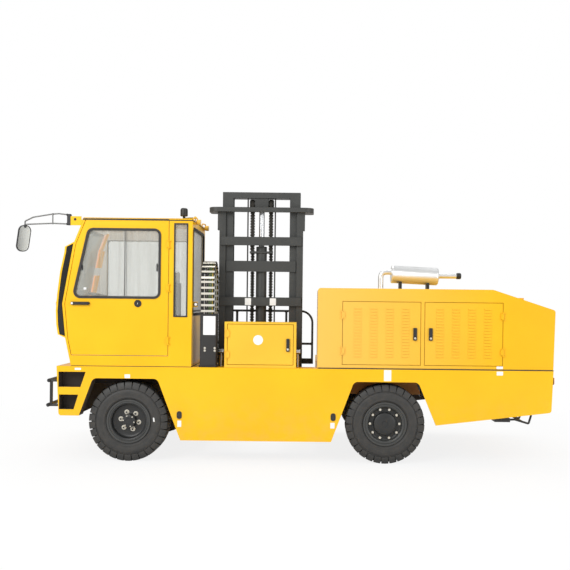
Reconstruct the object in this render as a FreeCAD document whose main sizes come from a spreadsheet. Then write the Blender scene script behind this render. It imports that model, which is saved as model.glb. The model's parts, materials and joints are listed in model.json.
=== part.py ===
import FreeCAD, Part
import math
import os

import Sketcher

# Side loader forklift, lengths in millimetres.
# +X points to the rear of the truck, +Y to the load side, +Z up.
# The origin lies on the ground under the middle of the truck.

Vector = FreeCAD.Vector

SIZES = {
    # chassis
    "body_front": -2413,
    "body_rear": 2810,
    "half_width": 1100,
    "chassis_top": 1000,
    "belly": 231,
    "apron_bottom": 480,
    "apron_slope": 26,
    "skirt_plate": 12,
    "apron_depth": 203,
    "tail_low": 416,
    "tail_high": 563,
    "tail_slope": 18,
    "tail_block": 560,
    "tank_front": 1640,
    "tank_gap": 50,
    "tank_inner": 600,
    "step_reach": 150,
    "rear_step_setback": 603,
    "rear_step_block": 162,
    "rear_step_edge": 40,
    "rear_step_width": 420,
    "rear_step_top": 495,
    "rear_step_tube": 11,
    "upper_step_low": 780,
    "upper_step_high": 940,
    "lower_step_low": 545,
    "lower_step_high": 700,
    "head_lamp_share": 0.7455,
    "head_lamp_z": 820,
    "head_lamp_radius": 75,
    "tail_lamp_edge": 170,
    "tail_lamp_half": 110,
    "tail_lamp_low": 850,
    "tail_lamp_high": 930,
    "guard_tube": 20,
    "guard_post": 14,
    "guard_top": 836,
    "guard_low": 575,
    "guard_stand": 113,
    "deck_plate": 12,
    "deck_inner": -90,
    "beam_height": 120,
    "beam_width": 100,
    "near_beam": -840,
    "centre_beam": -240,
    "far_beam": 740,
    "edge_beam": 70,
    "cross_beam": 220,
    "well_beam": 80,
    "near_box": 208,
    # wheels and axles
    "steer_axle_x": -1661,
    "wheelbase": 2709,
    "tyre_radius": 419,
    "tyre_width": 235,
    "tyre_inset": 20,
    "steer_arch_gap": 37,
    "drive_arch_gap": 28,
    "bead_radius": 192,
    "flange_radius": 232,
    "rim_wall": 12,
    "rim_half_width": 100,
    "flange_wall": 12,
    "disc_plate": 14,
    "kingpin_inboard": 310,
    "kingpin_radius": 20,
    "axle_half_height": 70,
    "axle_half_width": 65,
    "axle_eye_radius": 60,
    "spindle_radius": 35,
    "running_gap": 0.3,
    "moving_gap": 5,
    "pedestal_half": 300,
    "housing_radius": 95,
    "drive_bulb_radius": 190,
    "tyre_belly": 315,
    "lug_count": 30,
    "lug_share": 0.84,
    "lug_depth": 16,
    "shoulder_inset": 10,
    # mast well and traverse rails
    "mast_x": -306,
    "well_half": 624,
    "rail_bottom": 300,
    "rail_height": 120,
    "rail_plate": 12,
    "rail_depth": 45,
    # traverse frame
    "traverse_plate_out": 555,
    "traverse_plate": 25,
    "traverse_gap": 20,
    "traverse_length": 430,
    "traverse_bottom": 240,
    "traverse_top": 700,
    "traverse_beam": 40,
    "traverse_roller": 43,
    "tilt_pivot_setback": 330,
    "tilt_pivot_z": 400,
    "tilt_pin_radius": 25,
    "tilt_x": 420,
    "tilt_low_setback": 80,
    "tilt_low_z": 560,
    "tilt_high_setback": 160,
    "tilt_high_z": 1150,
    "tilt_barrel_radius": 35,
    "tilt_rod_radius": 18,
    "tilt_eye_radius": 30,
    "tilt_eye_pin": 14,
    "tilt_eye_play": 2.5,
    "tilt_eye_half": 28,
    "tilt_cheek": 16,
    "tilt_cheek_shift": 38,
    "tilt_cheek_reach": 30,
    "tilt_pin_half": 43,
    "tilt_barrel_length": 370,
    # mast
    "mast_setback": 220,
    "mast_depth": 220,
    "mast_bottom": 310,
    "mast_top": 2740,
    "outer_half": 463,
    "outer_channel": 70,
    "outer_web": 20,
    "outer_flange": 25,
    "inner_channel": 118,
    "inner_side_gap": 11,
    "inner_web": 18,
    "inner_flange": 22,
    "inner_bar_inset": 8,
    "inner_bar_plate": 20,
    "inner_bottom": 590,
    "inner_top": 2914,
    "bar_plate": 25,
    "upper_bar": 2321,
    "upper_bar_height": 94,
    "middle_bar": 1653,
    "middle_bar_height": 96,
    "lower_bar": 420,
    "lower_bar_height": 200,
    "inner_bar": 2032,
    "inner_bar_height": 119,
    "inner_low_bar": 620,
    "yoke_half": 580,
    "yoke_bar": 50,
    "yoke_arm": 280,
    "yoke_height": 51,
    "yoke_round": 100,
    "cylinder_setback": 320,
    "cylinder_radius": 60,
    "cylinder_top": 2314,
    "cylinder_wall": 10,
    "piston_rod_radius": 31,
    "piston_rod_bottom": 640,
    "anchor_low": 2237,
    "anchor_plate": 23,
    "crosshead_half": 74,
    "crosshead_drop": 161,
    "top_beam": 65,
    "sheave_drop": 129,
    "sheave_radius": 50,
    "sheave_groove": 42,
    "chain_x": 103,
    "chain_width": 44,
    "chain_plate": 14,
    "hose_x": 152,
    "hose_radius": 8,
    # fork carriage
    "carriage_setback": 460,
    "carriage_bar": 50,
    "carriage_half": 590,
    "carriage_top_bar": 1000,
    "carriage_top_height": 60,
    "carriage_low_bar": 570,
    "carriage_low_height": 70,
    "carriage_low_half": 480,
    "side_plate_out": 300,
    "side_plate": 30,
    "carriage_post": 60,
    "carriage_post_top": 1260,
    "roller_low": 900,
    "roller_high": 1190,
    "backrest_top": 1610,
    "backrest_mid": 1215,
    "backrest_rail": 24,
    "backrest_post_x": 280,
    "backrest_round": 145,
    "fork_x": 400,
    "fork_width": 125,
    "fork_heel": 50,
    "fork_bottom": 480,
    "fork_length": 1200,
    "fork_tip": 15,
    "fork_hook": 15,
    # cab
    "cab_rear": -1000,
    "cab_side": 1090,
    "cab_inner_side": -90,
    "cab_wall": 40,
    "cab_roof_z": 2545,
    "roof_plate": 20,
    "roof_front": -2150,
    "brow_x": -2255,
    "brow_z": 2284,
    "nose_x": -2365,
    "nose_z": 1653,
    "chin_x": -2328,
    "chin_z": 1287,
    "toe_x": -2266,
    "door_hinge_x": -1250,
    "door_bottom": 1118,
    "door_top": 2540,
    "door_front_gap": 30,
    "door_panel": 35,
    "door_gap": 5,
    "door_lap": 25,
    "pane": 6,
    "pane_inset": 12,
    "screen_low": 1340,
    "screen_high": 2460,
    "screen_side": 50,
    "door_sill": 1734,
    "door_head": 2435,
    "door_pane_rear": -1350,
    "door_pane_front_low": -2240,
    "door_pane_front_high": -2086,
    "door_pane_round": 45,
    "quarter_front": -1190,
    "quarter_rear": -1050,
    "quarter_low": 1530,
    "quarter_high": 2510,
    "back_pane_low": 1560,
    "back_pane_high": 2460,
    "side_pane_low": 1330,
    "side_pane_high": 2400,
    "side_pane_front": -2140,
    "side_pane_rear": -1100,
    "hinge_pin": 5,
    "hinge_barrel": 9,
    "hinge_length": 60,
    "hinge_lug": 12,
    "handle_x": -2172,
    "handle_length": 187,
    "handle_z": 1660,
    "lock_x": -1568,
    "lock_z": 1664,
    "lock_radius": 38,
    # mirror and roof lamps
    "mirror_x": -2787,
    "mirror_y": -1070,
    "mirror_z": 2338,
    "mirror_width": 150,
    "mirror_height": 283,
    "mirror_thick": 34,
    "mirror_lean": 20,
    "mirror_round": 65,
    "mirror_yaw": 44,
    "mirror_arm": 8,
    "mirror_strut_x": -2478,
    "mirror_block_x": -2326,
    "mirror_block": 45,
    "mirror_plate_low": 2481,
    "mirror_plate_high": 2576,
    "beacon_x": -1153,
    "beacon_y": -700,
    "beacon_radius": 41,
    "beacon_stem": 66,
    "beacon_height": 89,
    "work_lamp_radius": 30,
    "work_lamp_length": 50,
    "work_lamp_stand": 14,
    # engine hood
    "hood_front": 326,
    "hood_overhang": 18,
    "hood_top": 1850,
    "hood_slope_x": 2171,
    "hood_rear_top": 1638,
    "hood_wall": 40,
    "hood_door_low": 1049,
    "hood_door_high": 1708,
    "front_hood_door": 590,
    "rear_hood_door": 1455,
    "hood_door_length": 818,
    "hood_door_panel": 20,
    "louvre_rows": 17,
    "louvre_pitch": 31.5,
    "louvre_low": 1130,
    "louvre_length": 78,
    "louvre_height": 17,
    "louvre_depth": 8,
    "louvre_column_pitch": 168,
    "louvre_inset": 118,
    "engine_front": 900,
    "engine_rear": 1950,
    "engine_low": 1040,
    "engine_high": 1580,
    "engine_near": -860,
    "engine_far": -140,
    # exhaust
    "muffler_y": -600,
    "muffler_z": 2021,
    "muffler_drop": 23,
    "muffler_front": 1137,
    "muffler_length": 528,
    "muffler_radius": 98,
    "pipe_radius": 30,
    "pipe_in_x": 1026,
    "inlet_rise": 24,
    "tail_pipe_rise": 10,
    "tail_pipe_end": 1918,
    "tail_cap_length": 56,
    "tail_cap_radius": 35,
    "muffler_bracket": 14,
    # toolbox, hose guide post and hose guide chain
    "toolbox_front": -653,
    "toolbox_rear": 102,
    "toolbox_top": 1483,
    "toolbox_back": -860,
    "toolbox_wall": 25,
    "toolbox_door_front": -620,
    "toolbox_door_length": 689,
    "toolbox_door_low": 1036,
    "toolbox_door_high": 1456,
    "post_front": -915,
    "post_rear": -745,
    "post_edge": 40,
    "post_depth": 160,
    "post_top": 1561,
    "guide_front": -918,
    "guide_rear": -776,
    "guide_setback": 320,
    "guide_radius": 220,
    "guide_link": 40,
    "guide_top": 2134,
    "guide_end": 1000,
}

doc = FreeCAD.newDocument("SideLoader")
sheet = doc.addObject("Spreadsheet::Sheet", "Sizes")


class Size:
    # A length with its number and the sheet expression that gives it.
    def __init__(self, number, text):
        self.number = number
        self.text = text

    def __add__(self, other):
        return combined(self, "+", other)

    def __radd__(self, other):
        return combined(other, "+", self)

    def __sub__(self, other):
        return combined(self, "-", other)

    def __rsub__(self, other):
        return combined(other, "-", self)

    def __mul__(self, other):
        return combined(self, "*", other)

    def __rmul__(self, other):
        return combined(other, "*", self)

    def __truediv__(self, other):
        return combined(self, "/", other)

    def __neg__(self):
        return combined(0, "-", self)


def as_size(value):
    if isinstance(value, Size):
        return value
    return Size(value, f"({value})")


def combined(first, sign, second):
    first = as_size(first)
    second = as_size(second)
    results = {
        "+": first.number + second.number,
        "-": first.number - second.number,
        "*": first.number * second.number,
        "/": first.number / second.number if second.number else 0,
    }
    return Size(results[sign], f"({first.text} {sign} {second.text})")


class Cells:
    # The sheet's cells by name, as sizes.
    def __init__(self, values):
        for row, (name, value) in enumerate(values.items(), start=1):
            sheet.set(f"A{row}", name)
            sheet.set(f"B{row}", str(value))
            sheet.setAlias(f"B{row}", name)
            setattr(self, name, Size(value, f"Sizes.{name}"))


s = Cells(SIZES)
doc.recompute()

nodes = []


def node(label, piece):
    # A finished sub-part: its label names its file.
    piece.Label = label
    nodes.append(piece)
    return piece


def bind(piece, prop, value):
    piece.setExpression(prop, as_size(value).text)


def bind_base(piece, x, y, z):
    bind(piece, "Placement.Base.x", x)
    bind(piece, "Placement.Base.y", y)
    bind(piece, "Placement.Base.z", z)


def box(name, xs, ys, zs):
    piece = doc.addObject("Part::Box", name)
    bind(piece, "Length", as_size(xs[1]) - xs[0])
    bind(piece, "Width", as_size(ys[1]) - ys[0])
    bind(piece, "Height", as_size(zs[1]) - zs[0])
    bind_base(piece, xs[0], ys[0], zs[0])
    return piece


def rod(name, axis, span, centre, radius):
    # A round bar along one axis; centre holds the other two coordinates in order.
    piece = doc.addObject("Part::Cylinder", name)
    turns = {
        "x": FreeCAD.Rotation(Vector(0, 1, 0), 90),
        "y": FreeCAD.Rotation(Vector(1, 0, 0), -90),
        "z": FreeCAD.Rotation(),
    }
    piece.Placement = FreeCAD.Placement(Vector(), turns[axis])
    bind(piece, "Radius", radius)
    bind(piece, "Height", as_size(span[1]) - span[0])
    places = list(centre)
    places.insert("xyz".index(axis), span[0])
    bind_base(piece, *places)
    return piece


def fuse(name, pieces):
    if len(pieces) == 1:
        return pieces[0]
    joined = doc.addObject("Part::MultiFuse", name)
    joined.Shapes = pieces
    joined.Refine = True
    return joined


def carve(name, base, tools):
    result = doc.addObject("Part::Cut", name)
    result.Base = base
    result.Tool = fuse(name + "_tools", tools)
    result.Refine = True
    return result


def origin_plane(body, role):
    return [feature for feature in body.Origin.OriginFeatures if feature.Role == role + "_Plane"][0]


def outline(body, name, plane, points, offset=0):
    # A closed sketch whose corners are held to the sheet.
    sketch = body.newObject("Sketcher::SketchObject", name)
    sketch.AttachmentSupport = [(origin_plane(body, plane), "")]
    sketch.MapMode = "FlatFace"
    side = -1 if plane == "XZ" else 1
    bind(sketch, "AttachmentOffset.Base.z", as_size(offset) * side)
    corners = [(as_size(u), as_size(v)) for u, v in points]
    count = len(corners)
    lines = []
    links = []
    for index in range(count):
        u, v = corners[index]
        next_u, next_v = corners[(index + 1) % count]
        start = Vector(u.number, v.number, 0)
        lines.append(Part.LineSegment(start, Vector(next_u.number, next_v.number, 0)))
        links.append(Sketcher.Constraint("Coincident", index, 2, (index + 1) % count, 1))
    for index, (u, v) in enumerate(corners):
        links.append(Sketcher.Constraint("DistanceX", -1, 1, index, 1, float(u.number)))
        links.append(Sketcher.Constraint("DistanceY", -1, 1, index, 1, float(v.number)))
    sketch.addGeometry(lines, False)
    sketch.addConstraint(links)
    for index, (u, v) in enumerate(corners):
        bind(sketch, f"Constraints[{count + 2 * index}]", u)
        bind(sketch, f"Constraints[{count + 2 * index + 1}]", v)
    return sketch


def slab(name, plane, points, span, rounds=None):
    # An outline in one plane, made solid across the span; rounds maps a corner to its radius.
    body = doc.addObject("PartDesign::Body", name)
    sketch = outline(body, name + "_outline", plane, points, span[0])
    pad = body.newObject("PartDesign::Pad", name + "_pad")
    pad.Profile = sketch
    pad.Reversed = plane == "XZ"
    bind(pad, "Length", as_size(span[1]) - span[0])
    doc.recompute()
    groups = {}
    for corner, radius in (rounds or {}).items():
        groups.setdefault(as_size(radius).text, (radius, []))[1].append(corner)
    tip = pad
    for number, (radius, corners) in enumerate(groups.values()):
        wanted = [(as_size(points[corner][0]).number, as_size(points[corner][1]).number)
                  for corner in corners]
        fillet = body.newObject("PartDesign::Fillet", f"{name}_round{number}")
        fillet.Base = (tip, corner_edges(tip.Shape, plane, wanted))
        bind(fillet, "Radius", radius)
        doc.recompute()
        tip = fillet
    body.Tip = tip
    return body


def corner_edges(shape, plane, wanted):
    # Names of the straight edges that stand on the wanted corners of an outline.
    axes = ["XYZ".index(letter) for letter in plane]
    names = []
    for index, edge in enumerate(shape.Edges, start=1):
        ends = [vertex.Point for vertex in edge.Vertexes]
        if len(ends) != 2:
            continue
        for u, v in wanted:
            if all(abs(end[axes[0]] - u) < 0.01 and abs(end[axes[1]] - v) < 0.01 for end in ends):
                names.append(f"Edge{index}")
    return names


def turned(name, points, centre):
    # A profile of (across, radius) points turned about an axle along Y.
    body = doc.addObject("PartDesign::Body", name)
    sketch = outline(body, name + "_profile", "YZ", points)
    turning = body.newObject("PartDesign::Revolution", name + "_turn")
    turning.Profile = sketch
    turning.ReferenceAxis = (sketch, ["H_Axis"])
    turning.Angle = 360
    body.Tip = turning
    bind_base(body, *centre)
    return body


def bent_tube(name, points, radius, bend):
    # A round tube on straight runs joined by tangent arcs.
    corners = [Vector(*[as_size(value).number for value in point]) for point in points]
    reach = as_size(bend).number
    edges = []
    start = corners[0]
    for before, corner, after in zip(corners, corners[1:], corners[2:]):
        back = (before - corner).normalize()
        ahead = (after - corner).normalize()
        half = back.getAngle(ahead) / 2
        cut = reach / math.tan(half)
        middle = (back + ahead).normalize()
        centre = corner + middle * (reach / math.sin(half))
        arc_start = corner + back * cut
        arc_end = corner + ahead * cut
        arc_middle = centre - middle * reach
        edges.append(Part.LineSegment(start, arc_start).toShape())
        edges.append(Part.Arc(arc_start, arc_middle, arc_end).toShape())
        start = arc_end
    edges.append(Part.LineSegment(start, corners[-1]).toShape())
    path = Part.Wire(edges)
    ring = Part.Wire([Part.makeCircle(as_size(radius).number, corners[0], corners[1] - corners[0])])
    tube = doc.addObject("Part::Feature", name)
    tube.Shape = path.makePipeShell([ring], True, False)
    return tube


def along(first, second, height):
    # The x at a height on the straight line between two (x, z) points.
    slope = (second[0] - first[0]) / (second[1] - first[1])
    return first[0] + slope * (height - first[1])


def hinge(name, x, y, z, swings, wall):
    # A pin hinge on a wall at y: the fixed pin and lugs, and the moving barrel and leaf.
    # swings is +1 where the moving side lies towards +X.
    low = z - s.hinge_length / 2
    high = z + s.hinge_length / 2
    reach = s.hinge_barrel * 2.5
    fixed_side = [x - reach, x] if swings > 0 else [x, x + reach]
    moving_side = [x, x + reach] if swings > 0 else [x - reach, x]
    pin = rod(name + "_pin", "z", [low - s.hinge_lug, high + s.hinge_lug], [x, y], s.hinge_pin)
    lugs = []
    for tag, lug in (("low", [low - s.hinge_lug, low]), ("high", [high, high + s.hinge_lug])):
        lugs.append(box(f"{name}_lug_{tag}", fixed_side, [y - s.hinge_pin, wall], lug))
        lugs.append(rod(f"{name}_eye_{tag}", "z", lug, [x, y], s.hinge_barrel))
    gap = s.running_gap
    barrel = rod(name + "_barrel", "z", [low + gap, high - gap], [x, y], s.hinge_barrel)
    leaf = box(name + "_leaf", moving_side, [y - s.hinge_pin, wall], [low + gap, high - gap])
    bore = rod(name + "_bore", "z", [low, high], [x, y], s.hinge_pin + gap)
    moving = carve(name + "_swing", fuse(name + "_swing_solid", [barrel, leaf]), [bore])
    return [pin] + lugs, [moving]


# places worked out from the sheet

drive_axle_x = s.steer_axle_x + s.wheelbase
wheel_z = s.tyre_radius
tyre_outer = s.half_width - s.tyre_inset
wheel_y = tyre_outer - s.tyre_width / 2
kingpin_y = tyre_outer - s.kingpin_inboard + s.tyre_inset
arch_top_steer = s.tyre_radius * 2 + s.steer_arch_gap
arch_top_drive = s.tyre_radius * 2 + s.drive_arch_gap
skirt_inner = s.half_width - s.skirt_plate
beam_low = s.chassis_top - s.beam_height
well_front = s.mast_x - s.well_half
well_rear = s.mast_x + s.well_half
near_box_inner = s.skirt_plate + s.near_box - s.half_width
traverse_back = near_box_inner + s.traverse_gap
traverse_front = traverse_back + s.traverse_length
tilt_pivot_y = traverse_back + s.tilt_pivot_setback
tilt_low_y = traverse_back + s.tilt_low_setback
tilt_high_y = traverse_back + s.tilt_high_setback
mast_back = traverse_back + s.mast_setback
cylinder_y = traverse_back + s.cylinder_setback
carriage_back = traverse_back + s.carriage_setback
hood_rear = s.body_rear + s.hood_overhang
tank_rear = s.body_rear - s.tail_block - s.tank_gap
post_near = s.post_edge - s.half_width
post_far = post_near + s.post_depth
guide_y = s.guide_setback - s.half_width
mast_front = mast_back + s.mast_depth
inner_half = s.outer_half - s.outer_web - s.inner_side_gap
inner_back = mast_back + s.outer_flange + s.moving_gap
inner_front = mast_front - s.outer_flange - s.moving_gap
crosshead_low = s.inner_top - s.crosshead_drop
sheave_z = s.inner_top - s.sheave_drop


# chassis

steer_arch = [
    (s.steer_axle_x - 513, s.apron_bottom),
    (s.steer_axle_x - 370, arch_top_steer),
    (s.steer_axle_x + 308, arch_top_steer),
    (s.steer_axle_x + 556, s.belly),
]
drive_arch = [
    (drive_axle_x - 569, s.belly),
    (drive_axle_x - 333, arch_top_drive),
    (drive_axle_x + 343, arch_top_drive),
    (drive_axle_x + 530, s.tail_low),
]
front_edge = [(s.body_front, s.chassis_top), (s.body_front + s.apron_slope, s.apron_bottom)]
rear_edge = [(s.body_rear - s.tail_slope, s.tail_high), (s.body_rear, s.chassis_top)]


def skirts():
    near = [-s.half_width, -skirt_inner]
    far = [skirt_inner, s.half_width]
    well_front_edge = [(well_front, s.belly), (well_front, s.chassis_top)]
    well_rear_edge = [(well_rear, s.chassis_top), (well_rear, s.belly)]
    whole = front_edge + steer_arch + drive_arch + rear_edge
    arch_rounds = {1: 30, 3: 60, 4: 60, 7: 60, 8: 60, 10: 30}
    return [
        slab("near_skirt", "XZ", whole, near, arch_rounds),
        slab("far_front_skirt", "XZ", front_edge + steer_arch + well_front_edge, far, {1: 30, 3: 60, 4: 60}),
        slab("far_rear_skirt", "XZ", well_rear_edge + drive_arch + rear_edge, far, {3: 60, 4: 60, 6: 30}),
    ]


def long_beams():
    beams = []
    edge = skirt_inner - s.edge_beam
    rows = {
        "near_edge": [-skirt_inner, -edge],
        "near": [s.near_beam, s.near_beam + s.beam_width],
        "centre": [s.centre_beam, s.centre_beam + s.beam_width],
        "far": [s.far_beam, s.far_beam + s.beam_width],
        "far_edge": [edge, skirt_inner],
    }
    front = [s.body_front + s.apron_depth, well_front]
    rear = [well_rear, s.body_rear - s.tail_block]
    for name, across in rows.items():
        beams.append(box(f"front_{name}_beam", front, across, [beam_low, s.chassis_top]))
        beams.append(box(f"rear_{name}_beam", rear, across, [beam_low, s.chassis_top]))
    return beams


def cross_members():
    inside = [-skirt_inner, skirt_inner]
    half = s.cross_beam / 2
    axle_top = wheel_z + s.axle_half_height
    steer = [s.steer_axle_x - half, s.steer_axle_x + half]
    drive = [drive_axle_x - half, drive_axle_x + half]
    pieces = [
        box("steer_cross_beam", steer, inside, [beam_low, s.chassis_top]),
        box("drive_cross_beam", drive, inside, [beam_low, s.chassis_top]),
        box("steer_pedestal", steer, [-s.pedestal_half, s.pedestal_half], [axle_top, beam_low]),
        box("well_front_beam", [well_front - s.well_beam, well_front], inside, [s.belly, s.chassis_top]),
        box("well_rear_beam", [well_rear, well_rear + s.well_beam], inside, [s.belly, s.chassis_top]),
        box("near_box", [well_front, well_rear], [-skirt_inner, near_box_inner], [s.belly, s.chassis_top]),
    ]
    for side, name in ((-1, "near"), (1, "far")):
        inner = side * 430
        outer = side * 570
        across = [outer, inner] if side < 0 else [inner, outer]
        low = wheel_z + s.housing_radius
        pieces.append(box(f"{name}_drive_pedestal", [drive_axle_x - 80, drive_axle_x + 80], across,
                          [low, beam_low]))
    return pieces


def end_blocks():
    depth = s.body_front + s.apron_depth
    front = [front_edge[0], front_edge[1], (depth, s.apron_bottom), (depth, s.chassis_top)]
    step_box = front_edge + steer_arch[:2] + [(steer_arch[1][0], s.chassis_top)]
    tail_front = s.body_rear - s.tail_block
    rear = [(tail_front, s.chassis_top), (tail_front, s.tail_high - 68)] + rear_edge
    return [
        slab("front_block", "XZ", front, [-skirt_inner, skirt_inner], {1: 30}),
        slab("step_box", "XZ", step_box, [-skirt_inner, -935], {1: 30, 3: 60}),
        slab("rear_block", "XZ", rear, [-skirt_inner, skirt_inner], {2: 30}),
    ]


def traverse_rails():
    # C channels on both walls of the well, open towards the mast.
    top = s.rail_bottom + s.rail_height
    rails = []
    for side, name, wall in ((-1, "front", well_front), (1, "rear", well_rear)):
        tip = wall - side * s.rail_depth
        web = wall - side * s.rail_plate
        points = [
            (wall, s.rail_bottom),
            (tip, s.rail_bottom),
            (tip, s.rail_bottom + s.rail_plate),
            (web, s.rail_bottom + s.rail_plate),
            (web, top - s.rail_plate),
            (tip, top - s.rail_plate),
            (tip, top),
            (wall, top),
        ]
        rails.append(slab(f"{name}_rail", "XZ", points, [near_box_inner, skirt_inner]))
    return rails


def step_pockets():
    # Two foot holes in the near skirt that narrow downwards along the wheel arch.
    across = [-s.half_width - 10, s.step_reach - s.half_width]
    upper = [
        (s.body_front + 22, s.upper_step_low),
        (s.body_front + 22, s.upper_step_high),
        (s.steer_axle_x - 445, s.upper_step_high),
        (s.steer_axle_x - 499, s.upper_step_low),
    ]
    lower = [
        (s.body_front + 30, s.lower_step_low),
        (s.body_front + 30, s.lower_step_high),
        (s.steer_axle_x - 521, s.lower_step_high),
        (s.steer_axle_x - 568, s.lower_step_low),
    ]
    return [slab("upper_pocket", "XZ", upper, across), slab("lower_pocket", "XZ", lower, across)]


frame = fuse("frame_solid", skirts() + long_beams() + cross_members() + end_blocks() + traverse_rails())
node("chassis_frame", carve("frame_cut", frame, step_pockets()))

deck_top = s.chassis_top + s.deck_plate
deck_across = [s.deck_inner, s.half_width]
node("front_deck",
     box("front_deck_plate", [s.body_front, well_front], deck_across, [s.chassis_top, deck_top]))
node("rear_deck", box("rear_deck_plate", [well_rear, s.body_rear], deck_across, [s.chassis_top, deck_top]))


def tank(label, across):
    block = box(label + "_block", [s.tank_front, tank_rear], across, [s.tail_high - 40, beam_low])
    node(label, block)


tank("fuel_tank", [-skirt_inner + s.edge_beam + 5, -s.tank_inner])
tank("hydraulic_tank", [s.tank_inner, skirt_inner - s.edge_beam - 5])


def front_guard():
    # Two cross tubes ahead of the apron, joined by uprights and stood off from it.
    tube_x = s.body_front - s.guard_stand
    reach = s.half_width - 100
    post = s.guard_post
    pieces = [
        rod("guard_top_tube", "y", [-reach, reach], [tube_x, s.guard_top], s.guard_tube),
        rod("guard_low_tube", "y", [-reach, reach], [tube_x - 7, s.guard_low], s.guard_tube),
    ]
    for number, share in enumerate((-1, -0.34, 0.34, 1)):
        place = (reach - s.guard_tube) * share
        across = [place - post, place + post]
        upright = [tube_x + s.guard_tube / 2, tube_x + s.guard_tube / 2 + 2 * post]
        pieces.append(box(f"guard_post_{number}", upright, across, [s.guard_low, s.guard_top]))
        for tag, height in (("top", s.guard_top), ("low", s.guard_low)):
            wall = s.body_front + s.apron_slope * (s.chassis_top - height - post) / (s.chassis_top - s.apron_bottom)
            pieces.append(rod(f"guard_{tag}_stay_{number}", "x", [tube_x, wall], [place, height], post))
    return fuse("front_guard_solid", pieces)


node("front_guard", front_guard())


def rear_step():
    # A bent tube step below the tail, carried by a block under the rear plate.
    front = s.body_rear - s.rear_step_setback
    back = front + s.rear_step_block
    across = [s.rear_step_edge - s.half_width, s.rear_step_edge + s.rear_step_width - s.half_width]
    top = s.rear_step_top
    tube = s.rear_step_tube
    ends = [across[0] + tube * 1.4, across[1] - tube * 1.4]
    pieces = [box("step_block", [front, back], across, [top - 40, top])]
    for number, y in enumerate(ends):
        route = [(back, y, top - 15), (back + 51, y, top - 13), (back + 198, y, top - 55),
                 (back + 225, y, top + 35)]
        pieces.append(bent_tube(f"step_tube_{number}", route, tube, 12))
    pieces.append(rod("step_tread", "y", ends, [back + 131, top - 36], tube))
    return fuse("rear_step_solid", pieces)


node("rear_step", rear_step())


# axles and wheels

def steer_axle():
    half = s.axle_half_width
    level = [wheel_z - s.axle_half_height, wheel_z + s.axle_half_height]
    narrow = 45
    pieces = [
        box("axle_beam", [s.steer_axle_x - half, s.steer_axle_x + half], [-680, 680], level),
        box("axle_ends", [s.steer_axle_x - narrow, s.steer_axle_x + narrow], [-kingpin_y, kingpin_y], level),
    ]
    bores = []
    for side, name in ((-1, "near"), (1, "far")):
        centre = [s.steer_axle_x, side * kingpin_y]
        pieces.append(rod(f"{name}_axle_eye", "z", level, centre, s.axle_eye_radius))
        bores.append(rod(f"{name}_axle_bore", "z", level, centre, s.kingpin_radius + s.running_gap))
    return carve("steer_axle_solid", fuse("steer_axle_blank", pieces), bores)


node("steer_axle", steer_axle())


def knuckle(name, side):
    # Two lugs around the axle eye, the kingpin and the wheel spindle.
    centre = [s.steer_axle_x, side * kingpin_y]
    lug = 26
    low = wheel_z - s.axle_half_height
    high = wheel_z + s.axle_half_height
    gap = s.running_gap
    clear = s.axle_eye_radius + 4
    upright = [side * (kingpin_y + clear), side * (kingpin_y + clear + 30)]
    upright.sort(key=lambda place: place.number)
    lug_reach = [side * kingpin_y, side * (kingpin_y + clear + 30)]
    lug_reach.sort(key=lambda place: place.number)
    across = [s.steer_axle_x - 45, s.steer_axle_x + 45]
    spindle = [side * (kingpin_y + clear), side * (wheel_y + 70)]
    spindle.sort(key=lambda place: place.number)
    pieces = [
        rod(name + "_kingpin", "z", [low - gap - lug, high + gap + lug], centre, s.kingpin_radius),
        rod(name + "_top_lug", "z", [high + gap, high + gap + lug], centre, 45),
        rod(name + "_low_lug", "z", [low - gap - lug, low - gap], centre, 45),
        box(name + "_top_arm", across, lug_reach, [high + gap, high + gap + lug]),
        box(name + "_low_arm", across, lug_reach, [low - gap - lug, low - gap]),
        box(name + "_upright", across, upright, [low - gap - lug, high + gap + lug]),
        rod(name + "_spindle", "y", spindle, [s.steer_axle_x, wheel_z], s.spindle_radius),
    ]
    node(name, fuse(name + "_solid", pieces))


knuckle("steering_knuckle_near", -1)
knuckle("steering_knuckle_far", 1)


def drive_axle():
    centre = [drive_axle_x, wheel_z]
    pieces = [
        rod("drive_housing", "y", [-kingpin_y, kingpin_y], centre, s.housing_radius),
        rod("drive_bulb", "y", [-170, 170], centre, s.drive_bulb_radius),
        rod("drive_pads", "y", [-570, 570], centre, s.housing_radius + 14),
        box("pinion_nose", [drive_axle_x - 330, drive_axle_x], [-80, 80], [wheel_z - 80, wheel_z + 80]),
    ]
    for side, name in ((-1, "near"), (1, "far")):
        flange = sorted([side * (kingpin_y - 26), side * kingpin_y], key=lambda place: place.number)
        spindle = sorted([side * kingpin_y, side * (wheel_y + 70)], key=lambda place: place.number)
        pieces.append(rod(f"{name}_drive_flange", "y", flange, centre, 150))
        pieces.append(rod(f"{name}_drive_spindle", "y", spindle, centre, s.spindle_radius))
    pads = [
        box("near_pad_cut", [drive_axle_x - 300, drive_axle_x + 300], [-600, -400],
            [wheel_z + s.housing_radius, 700]),
        box("far_pad_cut", [drive_axle_x - 300, drive_axle_x + 300], [400, 600],
            [wheel_z + s.housing_radius, 700]),
    ]
    return carve("drive_axle_solid", fuse("drive_axle_blank", pieces), pads)


node("drive_axle", drive_axle())


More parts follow.
